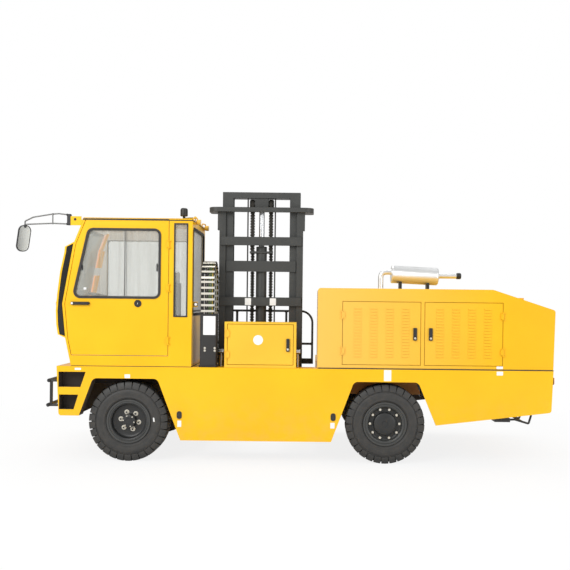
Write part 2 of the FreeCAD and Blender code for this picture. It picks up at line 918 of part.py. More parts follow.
def tyre(name, x, side):
    # A ring of flat facets: a wide one under each lug and a narrow one under each groove.
    half = (s.tyre_width / 2).number
    seat = (s.rim_half_width - s.flange_wall - s.running_gap).number
    bead = (s.bead_radius + s.running_gap).number
    heel = (s.flange_radius + s.running_gap).number
    top = s.tyre_radius.number
    base = (s.tyre_radius - s.lug_depth).number
    belly = s.tyre_belly.number
    shoulder = half - s.shoulder_inset.number
    tip = half - s.shoulder_inset.number * (top - belly) / (base - belly)
    lugs = SIZES["lug_count"]
    pitch = 2 * math.pi / lugs
    lug_half = pitch * SIZES["lug_share"] / 2
    faces = []

    def corner(across, radius, angle):
        reach = radius / math.cos(lug_half)
        return Vector(reach * math.sin(angle), across, -reach * math.cos(angle))

    def face(corners):
        faces.append(Part.Face(Part.makePolygon(corners + corners[:1])))

    def sector(start, end, crown):
        line = [(seat, bead), (seat, heel), (half, belly), crown]
        line += [(-across, radius) for across, radius in reversed(line)]
        for first, second in zip(line, line[1:] + line[:1]):
            face([corner(*first, start), corner(*second, start), corner(*second, end), corner(*first, end)])

    for number in range(lugs):
        middle = number * pitch
        edges = [middle - lug_half, middle + lug_half]
        sector(*edges, (tip, top))
        sector(edges[1], middle + pitch - lug_half, (shoulder, base))
        for angle in edges:
            face([corner(across, radius, angle) for across, radius in
                  ((-shoulder, base), (-tip, top), (tip, top), (shoulder, base))])
    shell = Part.makeShell(faces)
    shell.sewShape()
    ring = Part.Solid(shell)
    if ring.Volume < 0:
        ring.reverse()
    piece = doc.addObject("Part::Feature", name + "_ring")
    piece.Shape = ring
    bind_base(piece, x, side * wheel_y, wheel_z)
    node(name, piece)


def rim(name, x, side, disc_at, nuts, nut_circle, nut_radius, cap_radius, cap_reach):
    # Rim barrel with its flanges, the disc, the hub on its spindle and the wheel nuts.
    out = side
    barrel = s.bead_radius - s.rim_wall
    half = s.rim_half_width
    lip = half - s.flange_wall
    disc_in = disc_at - s.disc_plate
    bore = s.spindle_radius + s.running_gap
    hub = 80
    profile = [
        (-half, barrel),
        (-half, s.flange_radius),
        (-lip, s.flange_radius),
        (-lip, s.bead_radius),
        (lip, s.bead_radius),
        (lip, s.flange_radius),
        (half, s.flange_radius),
        (half, barrel),
        (disc_at, barrel),
        (disc_at, cap_radius),
        (cap_reach, cap_radius),
        (cap_reach, 0),
        (70 + 1, 0),
        (70 + 1, bore),
        (-75, bore),
        (-75, hub),
        (disc_in, hub),
        (disc_in, barrel),
    ]
    facing = [(as_size(across) * out, as_size(radius)) for across, radius in profile]
    pieces = [turned(name + "_turned", facing, [x, side * wheel_y, wheel_z])]
    face = side * wheel_y + out * as_size(disc_at)
    span = sorted([face, face + out * 24], key=lambda place: place.number)
    for number in range(nuts):
        angle = 2 * math.pi * number / nuts
        centre = [x + nut_circle * math.cos(angle), wheel_z + nut_circle * math.sin(angle)]
        pieces.append(rod(f"{name}_nut_{number}", "y", span, centre, nut_radius))
    node(name, fuse(name + "_solid", pieces))


for side, where in ((-1, "near"), (1, "far")):
    tyre(f"steer_tyre_{where}", s.steer_axle_x, side)
    rim(f"steer_rim_{where}", s.steer_axle_x, side, 20, 6, 96, 14, 72, 84)
    tyre(f"drive_tyre_{where}", drive_axle_x, side)
    rim(f"drive_rim_{where}", drive_axle_x, side, 40, 10, 137.5, 14, 100, 92)


# traverse frame and tilt cylinders

def mast_side(side, near, far):
    # A span in X that lies between two distances from the mast's middle, on one side.
    span = [s.mast_x + side * near, s.mast_x + side * far]
    return span if side > 0 else span[::-1]


def traverse_frame():
    out = s.traverse_plate_out
    inner = out - s.traverse_plate
    level = [s.traverse_bottom, s.traverse_top]
    length = [traverse_back, traverse_front]
    between = [s.mast_x - inner, s.mast_x + inner]
    rear_plate = [traverse_back, traverse_back + s.traverse_beam]
    pieces = [
        box("traverse_back_plate", between, rear_plate, level),
        box("traverse_floor", between, [traverse_back, traverse_front],
            [s.traverse_bottom, s.traverse_bottom + 50]),
    ]
    roller_z = s.rail_bottom + s.rail_plate + s.running_gap + s.traverse_roller
    roller_end = s.well_half - s.rail_plate - s.moving_gap
    for side, name in ((-1, "front"), (1, "rear")):
        pieces.append(box(f"traverse_{name}_plate", mast_side(side, inner, out), length, level))
        for number, y in enumerate((traverse_back + 60, traverse_front - 60)):
            across = mast_side(side, out, roller_end)
            pieces.append(rod(f"traverse_{name}_roller_{number}", "x", across, [y, roller_z],
                              s.traverse_roller))
        lug = mast_side(side, s.outer_half + 6, inner)
        lug_y = [tilt_pivot_y - 50, tilt_pivot_y + 50]
        pieces.append(box(f"tilt_{name}_lug", lug, lug_y, [s.traverse_bottom + 50, s.tilt_pivot_z + 50]))
        pin = mast_side(side, s.outer_half - s.outer_web, inner)
        pieces.append(rod(f"tilt_{name}_pin", "x", pin, [tilt_pivot_y, s.tilt_pivot_z], s.tilt_pin_radius))
        for tag, way in (("in", -1), ("out", 1)):
            middle = s.tilt_x + way * s.tilt_cheek_shift
            cheek = mast_side(side, middle - s.tilt_cheek / 2, middle + s.tilt_cheek / 2)
            cheek_y = [traverse_back + s.traverse_beam, tilt_low_y + s.tilt_cheek_reach]
            cheek_z = [s.tilt_low_z - s.tilt_cheek_reach, s.tilt_low_z + s.tilt_cheek_reach * 0.8]
            pieces.append(box(f"tilt_{name}_cheek_{tag}", cheek, cheek_y, cheek_z))
        low_pin = mast_side(side, s.tilt_x - s.tilt_pin_half, s.tilt_x + s.tilt_pin_half)
        pieces.append(rod(f"tilt_{name}_low_pin", "x", low_pin, [tilt_low_y, s.tilt_low_z], s.tilt_eye_pin))
    far_leg = [guide_y + s.guide_radius - s.guide_link, guide_y + s.guide_radius]
    pieces.append(box("guide_arm", [s.guide_front, s.mast_x - inner], far_leg,
                      [s.traverse_top - 60, s.traverse_top]))
    pieces.append(box("guide_arm_post", [s.guide_front, s.guide_rear], far_leg,
                      [s.traverse_top - 60, s.guide_end - s.running_gap]))
    return fuse("traverse_solid", pieces)


node("traverse_frame", traverse_frame())

tilt_run = tilt_high_y - tilt_low_y
tilt_rise = s.tilt_high_z - s.tilt_low_z
tilt_length = math.hypot(tilt_run.number, tilt_rise.number)
tilt_lean = math.degrees(math.atan2(tilt_run.number, tilt_rise.number))


def lean(piece):
    # Lays a piece made upright at the lower tilt pin along the tilt cylinder's line.
    pivot = Vector(0, tilt_low_y.number, s.tilt_low_z.number)
    turn = FreeCAD.Rotation(Vector(1, 0, 0), -tilt_lean)
    leaned = doc.addObject("Part::Feature", piece.Name + "_leaned")
    doc.recompute()
    shape = piece.Shape.copy()
    shape.rotate(pivot, Vector(1, 0, 0), -tilt_lean)
    leaned.Shape = shape
    return leaned


def tilt_cylinders():
    barrels = []
    rods = []
    y = tilt_low_y
    low = s.tilt_low_z
    for side, name in ((-1, "front"), (1, "rear")):
        x = s.mast_x + side * s.tilt_x
        eye = mast_side(side, s.tilt_x - s.tilt_eye_half, s.tilt_x + s.tilt_eye_half)
        barrel = fuse(f"tilt_{name}_barrel", [
            rod(f"tilt_{name}_neck", "z", [low + 10, low + 60], [x, y], 24),
            rod(f"tilt_{name}_tube", "z", [low + 40, low + s.tilt_barrel_length], [x, y],
                s.tilt_barrel_radius),
            rod(f"tilt_{name}_eye", "x", eye, [y, low], s.tilt_eye_radius),
        ])
        barrels.append(carve(f"tilt_{name}_barrel_cut", barrel, [
            rod(f"tilt_{name}_eye_bore", "x", eye, [y, low], s.tilt_eye_pin + s.running_gap),
            rod(f"tilt_{name}_tube_bore", "z", [low + 60, low + s.tilt_barrel_length + 10], [x, y],
                s.tilt_rod_radius + s.running_gap),
        ]))
        top = low + tilt_length
        piston = fuse(f"tilt_{name}_piston", [
            rod(f"tilt_{name}_rod", "z", [low + 110, top], [x, y], s.tilt_rod_radius),
            rod(f"tilt_{name}_rod_eye", "x", eye, [y, top], s.tilt_eye_radius),
        ])
        rods.append(carve(f"tilt_{name}_piston_cut", piston, [
            rod(f"tilt_{name}_rod_bore", "x", eye, [y, top], s.tilt_eye_pin + s.tilt_eye_play),
        ]))
    node("tilt_cylinder_barrels", lean(compound("tilt_barrels", barrels)))
    node("tilt_cylinder_rods", lean(compound("tilt_rods", rods)))


def compound(name, pieces):
    group = doc.addObject("Part::Compound", name)
    group.Links = pieces
    return group


tilt_cylinders()


# mast

def channel(name, side, open_side, outer, width, web, flange, back, front, span):
    # An upright C channel; open_side is -1 where it opens towards the mast's middle.
    wall = s.mast_x + side * outer
    tip = s.mast_x + side * (outer - width)
    inside = s.mast_x + side * (outer - web)
    points = [
        (tip, back),
        (wall, back),
        (wall, front),
        (tip, front),
        (tip, front - flange),
        (inside, front - flange),
        (inside, back + flange),
        (tip, back + flange),
    ]
    return slab(name, "XY", points, span)


def outer_mast():
    pieces = []
    bores = []
    back_bar = [mast_back - s.bar_plate, mast_back]
    for side, name in ((-1, "front"), (1, "rear")):
        pieces.append(channel(
            f"outer_{name}_upright", side, -1, s.outer_half, s.outer_channel, s.outer_web, s.outer_flange,
            mast_back, mast_front, [s.mast_bottom, s.mast_top],
        ))
        bore = mast_side(side, s.outer_half - s.outer_web - 1, s.outer_half + 1)
        bores.append(rod(f"mast_{name}_bore", "x", bore, [tilt_pivot_y, s.tilt_pivot_z],
                         s.tilt_pin_radius + s.running_gap))
        gusset = [
            (mast_back, s.mast_top - s.yoke_height - 200),
            (mast_back + 60, s.mast_top - s.yoke_height - 200),
            (mast_back + 160, s.mast_top - s.yoke_height),
            (mast_back, s.mast_top - s.yoke_height),
        ]
        pieces.append(slab(f"yoke_{name}_gusset", "YZ", gusset,
                           mast_side(side, s.outer_half, s.outer_half + 20)))
        for tag, way in (("in", -1), ("out", 1)):
            middle = s.tilt_x + way * s.tilt_cheek_shift
            cheek = mast_side(side, middle - s.tilt_cheek / 2, middle + s.tilt_cheek / 2)
            cheek_y = [tilt_high_y - s.tilt_cheek_reach, mast_back]
            cheek_z = [s.tilt_high_z - s.tilt_cheek_reach - 5, s.tilt_high_z + s.tilt_cheek_reach + 5]
            pieces.append(box(f"mast_{name}_cheek_{tag}", cheek, cheek_y, cheek_z))
        high_pin = mast_side(side, s.tilt_x - s.tilt_pin_half, s.tilt_x + s.tilt_pin_half)
        pieces.append(rod(f"mast_{name}_high_pin", "x", high_pin, [tilt_high_y, s.tilt_high_z],
                          s.tilt_eye_pin))
    bar_half = s.outer_half - 12
    bar_x = [s.mast_x - bar_half, s.mast_x + bar_half]
    for name, low, height in (
        ("upper", s.upper_bar, s.upper_bar_height),
        ("middle", s.middle_bar, s.middle_bar_height),
        ("lower", s.lower_bar, s.lower_bar_height),
    ):
        pieces.append(box(f"outer_{name}_bar", bar_x, back_bar, [low, low + height]))
    foot_x = [s.mast_x - s.outer_half, s.mast_x + s.outer_half]
    pieces.append(box("mast_foot", foot_x, [cylinder_y - 60, cylinder_y + 60],
                      [s.mast_bottom, s.mast_bottom + 40]))
    yoke = [
        (s.mast_x - s.yoke_half, mast_back - s.yoke_bar),
        (s.mast_x + s.yoke_half, mast_back - s.yoke_bar),
        (s.mast_x + s.yoke_half, mast_back - s.yoke_bar + s.yoke_arm),
        (s.mast_x + s.outer_half, mast_back - s.yoke_bar + s.yoke_arm),
        (s.mast_x + s.outer_half, mast_back),
        (s.mast_x - s.outer_half, mast_back),
        (s.mast_x - s.outer_half, mast_back - s.yoke_bar + s.yoke_arm),
        (s.mast_x - s.yoke_half, mast_back - s.yoke_bar + s.yoke_arm),
    ]
    corners = {0: s.yoke_round, 1: s.yoke_round, 2: 40, 7: 40}
    pieces.append(slab("mast_yoke", "XY", yoke, [s.mast_top - s.yoke_height, s.mast_top], corners))
    return carve("outer_mast_cut", fuse("outer_mast_solid", pieces), bores)


node("outer_mast", outer_mast())


def lift_cylinder():
    centre = [s.mast_x, cylinder_y]
    foot = s.mast_bottom + 40
    bracket_half = s.chain_x + 25
    back = cylinder_y - s.cylinder_radius - 6
    barrel = fuse("cylinder_solid", [
        rod("cylinder_tube", "z", [foot, s.cylinder_top], centre, s.cylinder_radius),
        box("chain_anchor", [s.mast_x - bracket_half, s.mast_x + bracket_half], [back, cylinder_y + 20],
            [s.anchor_low, s.anchor_low + s.anchor_plate]),
    ])
    hollow = s.cylinder_radius - s.cylinder_wall
    return carve("cylinder_cut", barrel, [
        rod("cylinder_bore", "z", [foot + 30, s.cylinder_top - 40], centre, hollow),
        rod("cylinder_gland", "z", [s.cylinder_top - 41, s.cylinder_top + 1], centre,
            s.piston_rod_radius + s.running_gap),
    ])


node("lift_cylinder", lift_cylinder())


def inner_mast():
    pieces = []
    bar_half = s.outer_half - s.outer_channel - s.moving_gap - 3
    bar_y = [mast_back + s.inner_bar_inset, mast_back + s.inner_bar_inset + s.inner_bar_plate]
    for side, name in ((-1, "front"), (1, "rear")):
        pieces.append(channel(
            f"inner_{name}_upright", side, -1, inner_half, s.inner_channel, s.inner_web, s.inner_flange,
            inner_back, inner_front, [s.inner_bottom, s.inner_top],
        ))
        for tag, low, height in (("mid", s.inner_bar, s.inner_bar_height), ("low", s.inner_low_bar, 90)):
            pad = mast_side(side, bar_half - 40, bar_half)
            pieces.append(box(f"inner_{name}_{tag}_pad", pad, [bar_y[0], inner_back + s.inner_flange],
                              [low, low + height]))
    bar_x = [s.mast_x - bar_half, s.mast_x + bar_half]
    pieces.append(box("inner_mid_bar", bar_x, bar_y, [s.inner_bar, s.inner_bar + s.inner_bar_height]))
    pieces.append(box("inner_low_cross_bar", bar_x, bar_y, [s.inner_low_bar, s.inner_low_bar + 90]))
    beam_x = [s.mast_x - inner_half, s.mast_x + inner_half]
    beam_y = [inner_back, inner_front - s.inner_flange]
    pieces.append(box("inner_top_beam", beam_x, beam_y, [s.inner_top - s.top_beam, s.inner_top]))
    half = s.crosshead_half
    pieces.append(box("crosshead", [s.mast_x - half, s.mast_x + half], [cylinder_y - 58, cylinder_y + 58],
                      [crosshead_low, s.inner_top - s.top_beam]))
    pieces.append(rod("piston_rod", "z", [s.piston_rod_bottom, crosshead_low], [s.mast_x, cylinder_y],
                      s.piston_rod_radius))
    sheave = [cylinder_y, sheave_z]
    groove = [s.chain_x - s.chain_width / 2 - 1, s.chain_x + s.chain_width / 2 + 1]
    for side, name in ((-1, "front"), (1, "rear")):
        pieces.append(rod(f"sheave_{name}_hub", "x", mast_side(side, half, groove[1] + 8), sheave,
                          s.sheave_groove))
        pieces.append(rod(f"sheave_{name}_inner", "x", mast_side(side, groove[0] - 6, groove[0]), sheave,
                          s.sheave_radius))
        pieces.append(rod(f"sheave_{name}_outer", "x", mast_side(side, groove[1], groove[1] + 8), sheave,
                          s.sheave_radius))
    return fuse("inner_mast_solid", pieces)


node("inner_mast", inner_mast())


def lift_chains():
    chains = []
    inside = s.sheave_groove + s.running_gap
    outside = inside + s.chain_plate
    for side, name in ((-1, "front"), (1, "rear")):
        x = mast_side(side, s.chain_x - s.chain_width / 2, s.chain_x + s.chain_width / 2)
        whole = rod(f"chain_{name}_loop", "x", x, [cylinder_y, sheave_z], outside)
        arch = carve(f"chain_{name}_arch", whole, [
            rod(f"chain_{name}_hole", "x", x, [cylinder_y, sheave_z], inside),
            box(f"chain_{name}_below", x, [cylinder_y - outside - 1, cylinder_y + outside + 1],
                [sheave_z - outside - 1, sheave_z]),
        ])
        back_leg = box(f"chain_{name}_back_leg", x, [cylinder_y - outside, cylinder_y - inside],
                       [s.anchor_low + s.anchor_plate, sheave_z])
        front_leg = box(f"chain_{name}_front_leg", x, [cylinder_y + inside, cylinder_y + outside],
                        [s.carriage_top_bar + 130, sheave_z])
        chains.append(fuse(f"chain_{name}", [arch, back_leg, front_leg]))
    return compound("chains", chains)


node("lift_chains", lift_chains())


def mast_hoses():
    y = cylinder_y - s.sheave_groove - s.chain_plate / 2
    hoses = []
    for side, name in ((-1, "front"), (1, "rear")):
        x = s.mast_x + side * s.hose_x
        low = s.inner_low_bar + 60
        hoses.append(rod(f"hose_{name}", "z", [low, s.inner_top - s.top_beam], [x, y], s.hose_radius))
    return compound("hoses", hoses)


node("mast_hoses", mast_hoses())


# fork carriage

def fork_carriage():
    plane = [carriage_back, carriage_back + s.carriage_bar]
    top = [s.carriage_top_bar, s.carriage_top_bar + s.carriage_top_height]
    low = [s.carriage_low_bar, s.carriage_low_bar + s.carriage_low_height]
    pieces = [
        box("carriage_top_bar_plate", [s.mast_x - s.carriage_half, s.mast_x + s.carriage_half], plane, top),
        box("carriage_low_bar_plate", [s.mast_x - s.carriage_low_half, s.mast_x + s.carriage_low_half], plane,
            low),
    ]
    roller_back = inner_back + s.inner_flange
    roller_front = inner_front - s.inner_flange
    roller = (roller_front - roller_back) / 2 - s.moving_gap
    roller_y = roller_front - s.running_gap - roller
    for side, name in ((-1, "front"), (1, "rear")):
        post = mast_side(side, s.side_plate_out - s.carriage_post, s.side_plate_out)
        pieces.append(box(f"carriage_{name}_post", post, plane, [s.carriage_low_bar, s.carriage_post_top]))
        plate = mast_side(side, s.side_plate_out - s.side_plate, s.side_plate_out)
        pieces.append(box(f"carriage_{name}_plate", plate, [mast_back + 50, carriage_back],
                          [s.roller_low - 50, s.roller_high + 60]))
        across = mast_side(side, s.side_plate_out, inner_half - s.inner_web - s.moving_gap)
        for number, z in enumerate((s.roller_low, s.roller_high)):
            pieces.append(rod(f"carriage_{name}_roller_{number}", "x", across, [roller_y, z], roller))
    anchor_z = [s.carriage_top_bar + 90, s.carriage_top_bar + 130]
    reach = s.side_plate_out - s.side_plate
    pieces.append(box("chain_bar", [s.mast_x - reach, s.mast_x + reach], [carriage_back - 60, carriage_back],
                      anchor_z))
    for side, name in ((-1, "front"), (1, "rear")):
        lug = mast_side(side, s.chain_x - s.chain_width / 2 - 4, s.chain_x + s.chain_width / 2 + 4)
        lug_back = cylinder_y + s.sheave_groove
        pieces.append(box(f"chain_{name}_lug", lug, [lug_back, carriage_back], anchor_z))
    return fuse("carriage_solid", pieces)


node("fork_carriage", fork_carriage())


def load_backrest():
    rail = s.backrest_rail
    plane = [carriage_back, carriage_back + s.carriage_bar]
    low = s.carriage_top_bar + s.carriage_top_height
    half = s.carriage_half
    hoop = slab("backrest_hoop", "XZ", [
        (s.mast_x - half, low), (s.mast_x - half, s.backrest_top),
        (s.mast_x + half, s.backrest_top), (s.mast_x + half, low),
    ], plane, {1: s.backrest_round, 2: s.backrest_round})
    hole = slab("backrest_hole", "XZ", [
        (s.mast_x - half + rail, low - 5), (s.mast_x - half + rail, s.backrest_top - rail),
        (s.mast_x + half - rail, s.backrest_top - rail), (s.mast_x + half - rail, low - 5),
    ], [carriage_back - 5, carriage_back + s.carriage_bar + 5],
        {1: s.backrest_round - rail, 2: s.backrest_round - rail})
    pieces = [carve("backrest_ring", hoop, [hole])]
    inner = [s.mast_x - half + rail, s.mast_x + half - rail]
    pieces.append(box("backrest_mid_bar", inner, plane, [s.backrest_mid, s.backrest_mid + rail]))
    for side, name in ((-1, "front"), (1, "rear")):
        across = mast_side(side, s.backrest_post_x - rail / 2, s.backrest_post_x + rail / 2)
        pieces.append(box(f"backrest_{name}_post", across, plane, [low, s.backrest_top - rail]))
    solid = fuse("backrest_solid", pieces)
    notches = []
    for side, name in ((-1, "front"), (1, "rear")):
        across = mast_side(side, s.side_plate_out - s.carriage_post, s.side_plate_out)
        notches.append(box(f"backrest_{name}_notch", across, plane, [low, s.carriage_post_top]))
    return carve("backrest_cut", solid, notches)


node("load_backrest", load_backrest())


def forks():
    back = carriage_back + s.carriage_bar
    top = s.carriage_top_bar + s.carriage_top_height
    heel = s.fork_heel
    tip = back + s.fork_length + heel
    upper = s.fork_bottom + heel
    arms = []
    for side, name in ((-1, "front"), (1, "rear")):
        x = mast_side(side, s.fork_x - s.fork_width / 2, s.fork_x + s.fork_width / 2)
        profile = [
            (back, s.fork_bottom + 20),
            (back + 20, s.fork_bottom),
            (tip, s.fork_bottom),
            (tip, s.fork_bottom + s.fork_tip),
            (back + heel + 500, upper),
            (back + heel, upper),
            (back + heel, top + s.fork_hook),
            (back - 30, top + s.fork_hook),
            (back - 30, top),
            (back, top),
        ]
        arms.append(slab(f"fork_{name}", "YZ", profile, x, {5: 30}))
    return compound("fork_pair", arms)


node("forks", forks())


# cab

cab_near = -s.cab_side
cab_rear_inner = s.cab_rear - s.cab_wall
front_line = [
    (s.roof_front, s.cab_roof_z),
    (s.brow_x, s.brow_z),
    (s.nose_x, s.nose_z),
    (s.chin_x, s.chin_z),
    (s.toe_x, s.chassis_top),
]


def cab_front(height, inward=0):
    # The x of the cab's front face at a height, moved inward.
    level = as_size(height).number
    for upper, lower in zip(front_line, front_line[1:]):
        if level >= as_size(lower[1]).number:
            return along(lower, upper, height) + inward
    return along(front_line[-1], front_line[-2], height) + inward


door_outline = [
    (s.door_hinge_x, s.door_bottom),
    (s.door_hinge_x, s.door_top),
    (cab_front(s.door_top, s.door_front_gap), s.door_top),
    (cab_front(s.brow_z, s.door_front_gap), s.brow_z),
    (cab_front(s.nose_z, s.door_front_gap), s.nose_z),
    (cab_front(s.chin_z, s.door_front_gap), s.chin_z),
    (cab_front(s.door_bottom, s.door_front_gap), s.door_bottom),
]
door_sides = [(1, -1), (1, 1), (-1, 1), (-1, 0), (-1, 0), (-1, 0), (-1, -1)]


def grown(points, sides, margin):
    # An outline moved out by a margin at every corner.
    return [(u + margin * side_u, v + margin * side_v) for (u, v), (side_u, side_v) in zip(points, sides)]


def doorway(name, points, sides, face, panel, wall):
    # Tools that cut a rebated doorway: the panel's pocket, then a smaller way through.
    pocket_floor = face + panel + s.door_gap
    pocket = slab(name + "_pocket", "XZ", grown(points, sides, s.door_gap), [face - 5, pocket_floor])
    way = slab(name + "_way", "XZ", grown(points, sides, -s.door_lap), [pocket_floor - 1, face + wall + 5])
    return [pocket, way]


door_pane = [
    (s.door_pane_rear, s.door_sill),
    (s.door_pane_rear, s.door_head),
    (s.door_pane_front_high, s.door_head),
    (s.door_pane_front_low, s.door_sill),
]
door_pane_rounds = {0: s.door_pane_round, 1: s.door_pane_round, 2: s.door_pane_round, 3: s.door_pane_round}
cab_hinge_x = s.door_hinge_x + s.door_gap / 2
cab_hinges = [hinge(f"cab_hinge_{number}", cab_hinge_x, cab_near - s.hinge_barrel, z, -1, cab_near)
              for number, z in enumerate((as_size(1275), as_size(1830), as_size(2290)))]


def cab_shell():
    outer = [(s.cab_rear, s.chassis_top), (s.cab_rear, s.cab_roof_z)] + front_line
    wall = s.cab_wall
    inner = [
        (cab_rear_inner, s.chassis_top + wall),
        (cab_rear_inner, s.cab_roof_z + 5),
        (s.roof_front + wall, s.cab_roof_z + 5),
        (s.brow_x + wall, s.brow_z),
        (s.nose_x + wall, s.nose_z),
        (s.chin_x + wall, s.chin_z),
        (s.toe_x + wall + 5, s.chassis_top + wall),
    ]
    shell = slab("cab_solid", "XZ", outer, [cab_near, s.cab_inner_side])
    door_wall = s.door_panel + s.door_gap + 15
    inside = [cab_near + door_wall, s.cab_inner_side - wall]
    hollow = slab("cab_hollow", "XZ", inner, inside)
    screen = [cab_near + s.screen_side, s.cab_inner_side - s.screen_side]
    tools = [
        hollow,
        box("screen_way", [s.nose_x - 100, s.roof_front + 60], screen, [s.screen_low, s.screen_high]),
        box("back_way", [cab_rear_inner - 5, s.cab_rear + 5], [cab_near + 90, s.cab_inner_side - 90],
            [s.back_pane_low, s.back_pane_high]),
        box("side_way", [s.side_pane_front, s.side_pane_rear],
            [s.cab_inner_side - wall - 5, s.cab_inner_side + 5],
            [s.side_pane_low, s.side_pane_high]),
        box("quarter_way", [s.quarter_front, s.quarter_rear], [cab_near - 5, cab_near + door_wall + 5],
            [s.quarter_low, s.quarter_high]),
    ]
    tools += doorway("cab_door", door_outline, door_sides, cab_near, s.door_panel, door_wall)
    fixed = [piece for fixed_side, moving_side in cab_hinges for piece in fixed_side]
    return fuse("cab_with_hinges", [carve("cab_cut", shell, tools)] + fixed)


node("cab_shell", cab_shell())
node("cab_roof", slab("cab_roof_panel", "XZ", [
    (s.cab_rear, s.cab_roof_z), (s.cab_rear, s.cab_roof_z + s.roof_plate),
    (s.roof_front, s.cab_roof_z + s.roof_plate), (s.roof_front - 12, s.cab_roof_z),
], [cab_near, s.cab_inner_side]))


def cab_door():
    panel = slab("door_panel_solid", "XZ", door_outline, [cab_near, cab_near + s.door_panel])
    way = slab("door_pane_way", "XZ", door_pane, [cab_near - 5, cab_near + s.door_panel + 5],
               door_pane_rounds)
    pieces = [carve("door_cut", panel, [way])]
    for fixed_side, moving_side in cab_hinges:
        pieces += moving_side
    handle = [s.handle_x - s.handle_length / 2, s.handle_x + s.handle_length / 2]
    pieces.append(box("door_handle", handle, [cab_near - 24, cab_near - 12],
                      [s.handle_z - 16, s.handle_z + 16]))
    for tag, x in (("front", handle[0]), ("rear", handle[1] - 24)):
        pieces.append(box(f"handle_{tag}_foot", [x, x + 24], [cab_near - 12, cab_near],
                          [s.handle_z - 12, s.handle_z + 12]))
    pieces.append(rod("door_lock", "y", [cab_near - 8, cab_near], [s.lock_x, s.lock_z], s.lock_radius))
    return fuse("door_solid", pieces)


node("cab_door", cab_door())
pane_y = [cab_near + s.pane_inset, cab_near + s.pane_inset + s.pane]
node("door_glass", slab("door_pane", "XZ", door_pane, pane_y, door_pane_rounds))


def cab_glass():
    levels = [s.screen_low, s.nose_z, s.brow_z, s.screen_high]
    outer = [(cab_front(level, s.pane_inset), level) for level in levels]
    inner = [(cab_front(level, s.pane_inset + s.pane), level) for level in reversed(levels)]
    rear_x = [s.cab_rear - s.pane_inset - s.pane, s.cab_rear - s.pane_inset]
    side_y = [s.cab_inner_side - s.pane_inset - s.pane, s.cab_inner_side - s.pane_inset]
    return compound("cab_panes", [
        slab("windscreen", "XZ", outer + inner, [cab_near + s.screen_side, s.cab_inner_side - s.screen_side]),
        box("back_pane", rear_x, [cab_near + 90, s.cab_inner_side - 90], [s.back_pane_low, s.back_pane_high]),
        box("side_pane", [s.side_pane_front, s.side_pane_rear], side_y, [s.side_pane_low, s.side_pane_high]),
        box("quarter_pane", [s.quarter_front, s.quarter_rear], pane_y, [s.quarter_low, s.quarter_high]),
    ])


node("cab_glass", cab_glass())

guard_line = [
    (2310, 0),
    (2255, 85),
    (2200, 80),
    (1990, 87),
    (1756, 74),
    (1580, 76),
    (1433, 84),
    (1331, 78),
    (1294, 0),
]


def windscreen_guard():
    # Two thin side frames standing off the cab's front, joined by cross bars.
    thick = 12
    outer = [(cab_front(z, -as_size(reach)), as_size(z)) for z, reach in guard_line]
    inner = [(cab_front(z, 18 - as_size(reach)), as_size(z)) for z, reach in guard_line[1:-1]]
    pieces = []
    for name, y in (("near", cab_near + 10), ("far", s.cab_inner_side - 10 - thick)):
        ring = outer + [(cab_front(outer[-1][1] + 18), outer[-1][1] + 18)]
        ring += list(reversed(inner)) + [(cab_front(outer[0][1] - 18), outer[0][1] - 18)]
        pieces.append(slab(f"guard_{name}_frame", "XZ", ring, [y, y + thick]))
    for number in range(12):
        z = 1345 + number * 80
        reach = guard_reach(z)
        pieces.append(rod(f"guard_bar_{number}", "y", [cab_near + 12, s.cab_inner_side - 12],
                          [cab_front(z, 9 - reach), z], 6))
    return fuse("guard_solid", pieces)


def guard_reach(height):
    for (upper_z, upper), (lower_z, lower) in zip(guard_line, guard_line[1:]):
        if lower_z <= height <= upper_z:
            return lower + (upper - lower) * (height - lower_z) / (upper_z - lower_z)
    return 0


node("windscreen_guard", windscreen_guard())


def mirror():
    # A plate on the cab's front corner, a block, two bent arms with a strut, and the housing.
    y = s.mirror_y
    arm = s.mirror_arm
    block = [s.mirror_block_x, s.mirror_block_x + s.mirror_block]
    stem_x = s.mirror_x + 17
    stem_top = s.mirror_z + s.mirror_height / 2
    plate = [
        (block[1] - 5, s.mirror_plate_low),
        (block[1] - 5, s.mirror_plate_high),
        (s.roof_front - 25, s.mirror_plate_high),
        (s.roof_front - 25, s.cab_roof_z),
        (cab_front(s.cab_roof_z - 10), s.cab_roof_z - 10),
        (cab_front(s.mirror_plate_low), s.mirror_plate_low),
    ]
    pieces = [
        slab("mirror_plate", "XZ", plate, [cab_near + 5, cab_near + 17]),
        box("mirror_arm_block", block, [cab_near + 5, y + 15],
            [s.mirror_plate_low, s.mirror_plate_high + 24]),
        bent_tube("mirror_upper_arm", [
            (block[0] + 10, y, stem_top + 112), (s.mirror_strut_x + 65, y, stem_top + 123),
            (s.mirror_strut_x, y, stem_top + 118), (stem_x + 87, y, stem_top + 83),
            (stem_x, y, stem_top + 40), (stem_x, y, stem_top - 10),
        ], arm, 14),
        bent_tube("mirror_lower_arm", [
            (block[0] + 10, y, stem_top + 15), (s.mirror_strut_x, y, stem_top + 20),
            (stem_x, y, stem_top + 6),
        ], arm, 14),
        rod("mirror_strut", "z", [stem_top + 20, stem_top + 118], [s.mirror_strut_x, y], arm - 2),
    ]
    half = s.mirror_width / 2
    high = s.mirror_height / 2
    shift = s.mirror_lean / 2
    head = slab("mirror_head", "XZ", [
        (-half - shift, -high), (shift - half, high), (half + shift, high), (half - shift, -high),
    ], [-s.mirror_thick / 2, s.mirror_thick / 2], {corner: s.mirror_round for corner in range(4)})
    bind_base(head, s.mirror_x, s.mirror_y, s.mirror_z)
    head.Placement.Rotation = FreeCAD.Rotation(Vector(0, 0, 1), 1)
    bind(head, "Placement.Rotation.Angle", s.mirror_yaw)
    return fuse("mirror_solid", pieces + [head])


node("mirror", mirror())


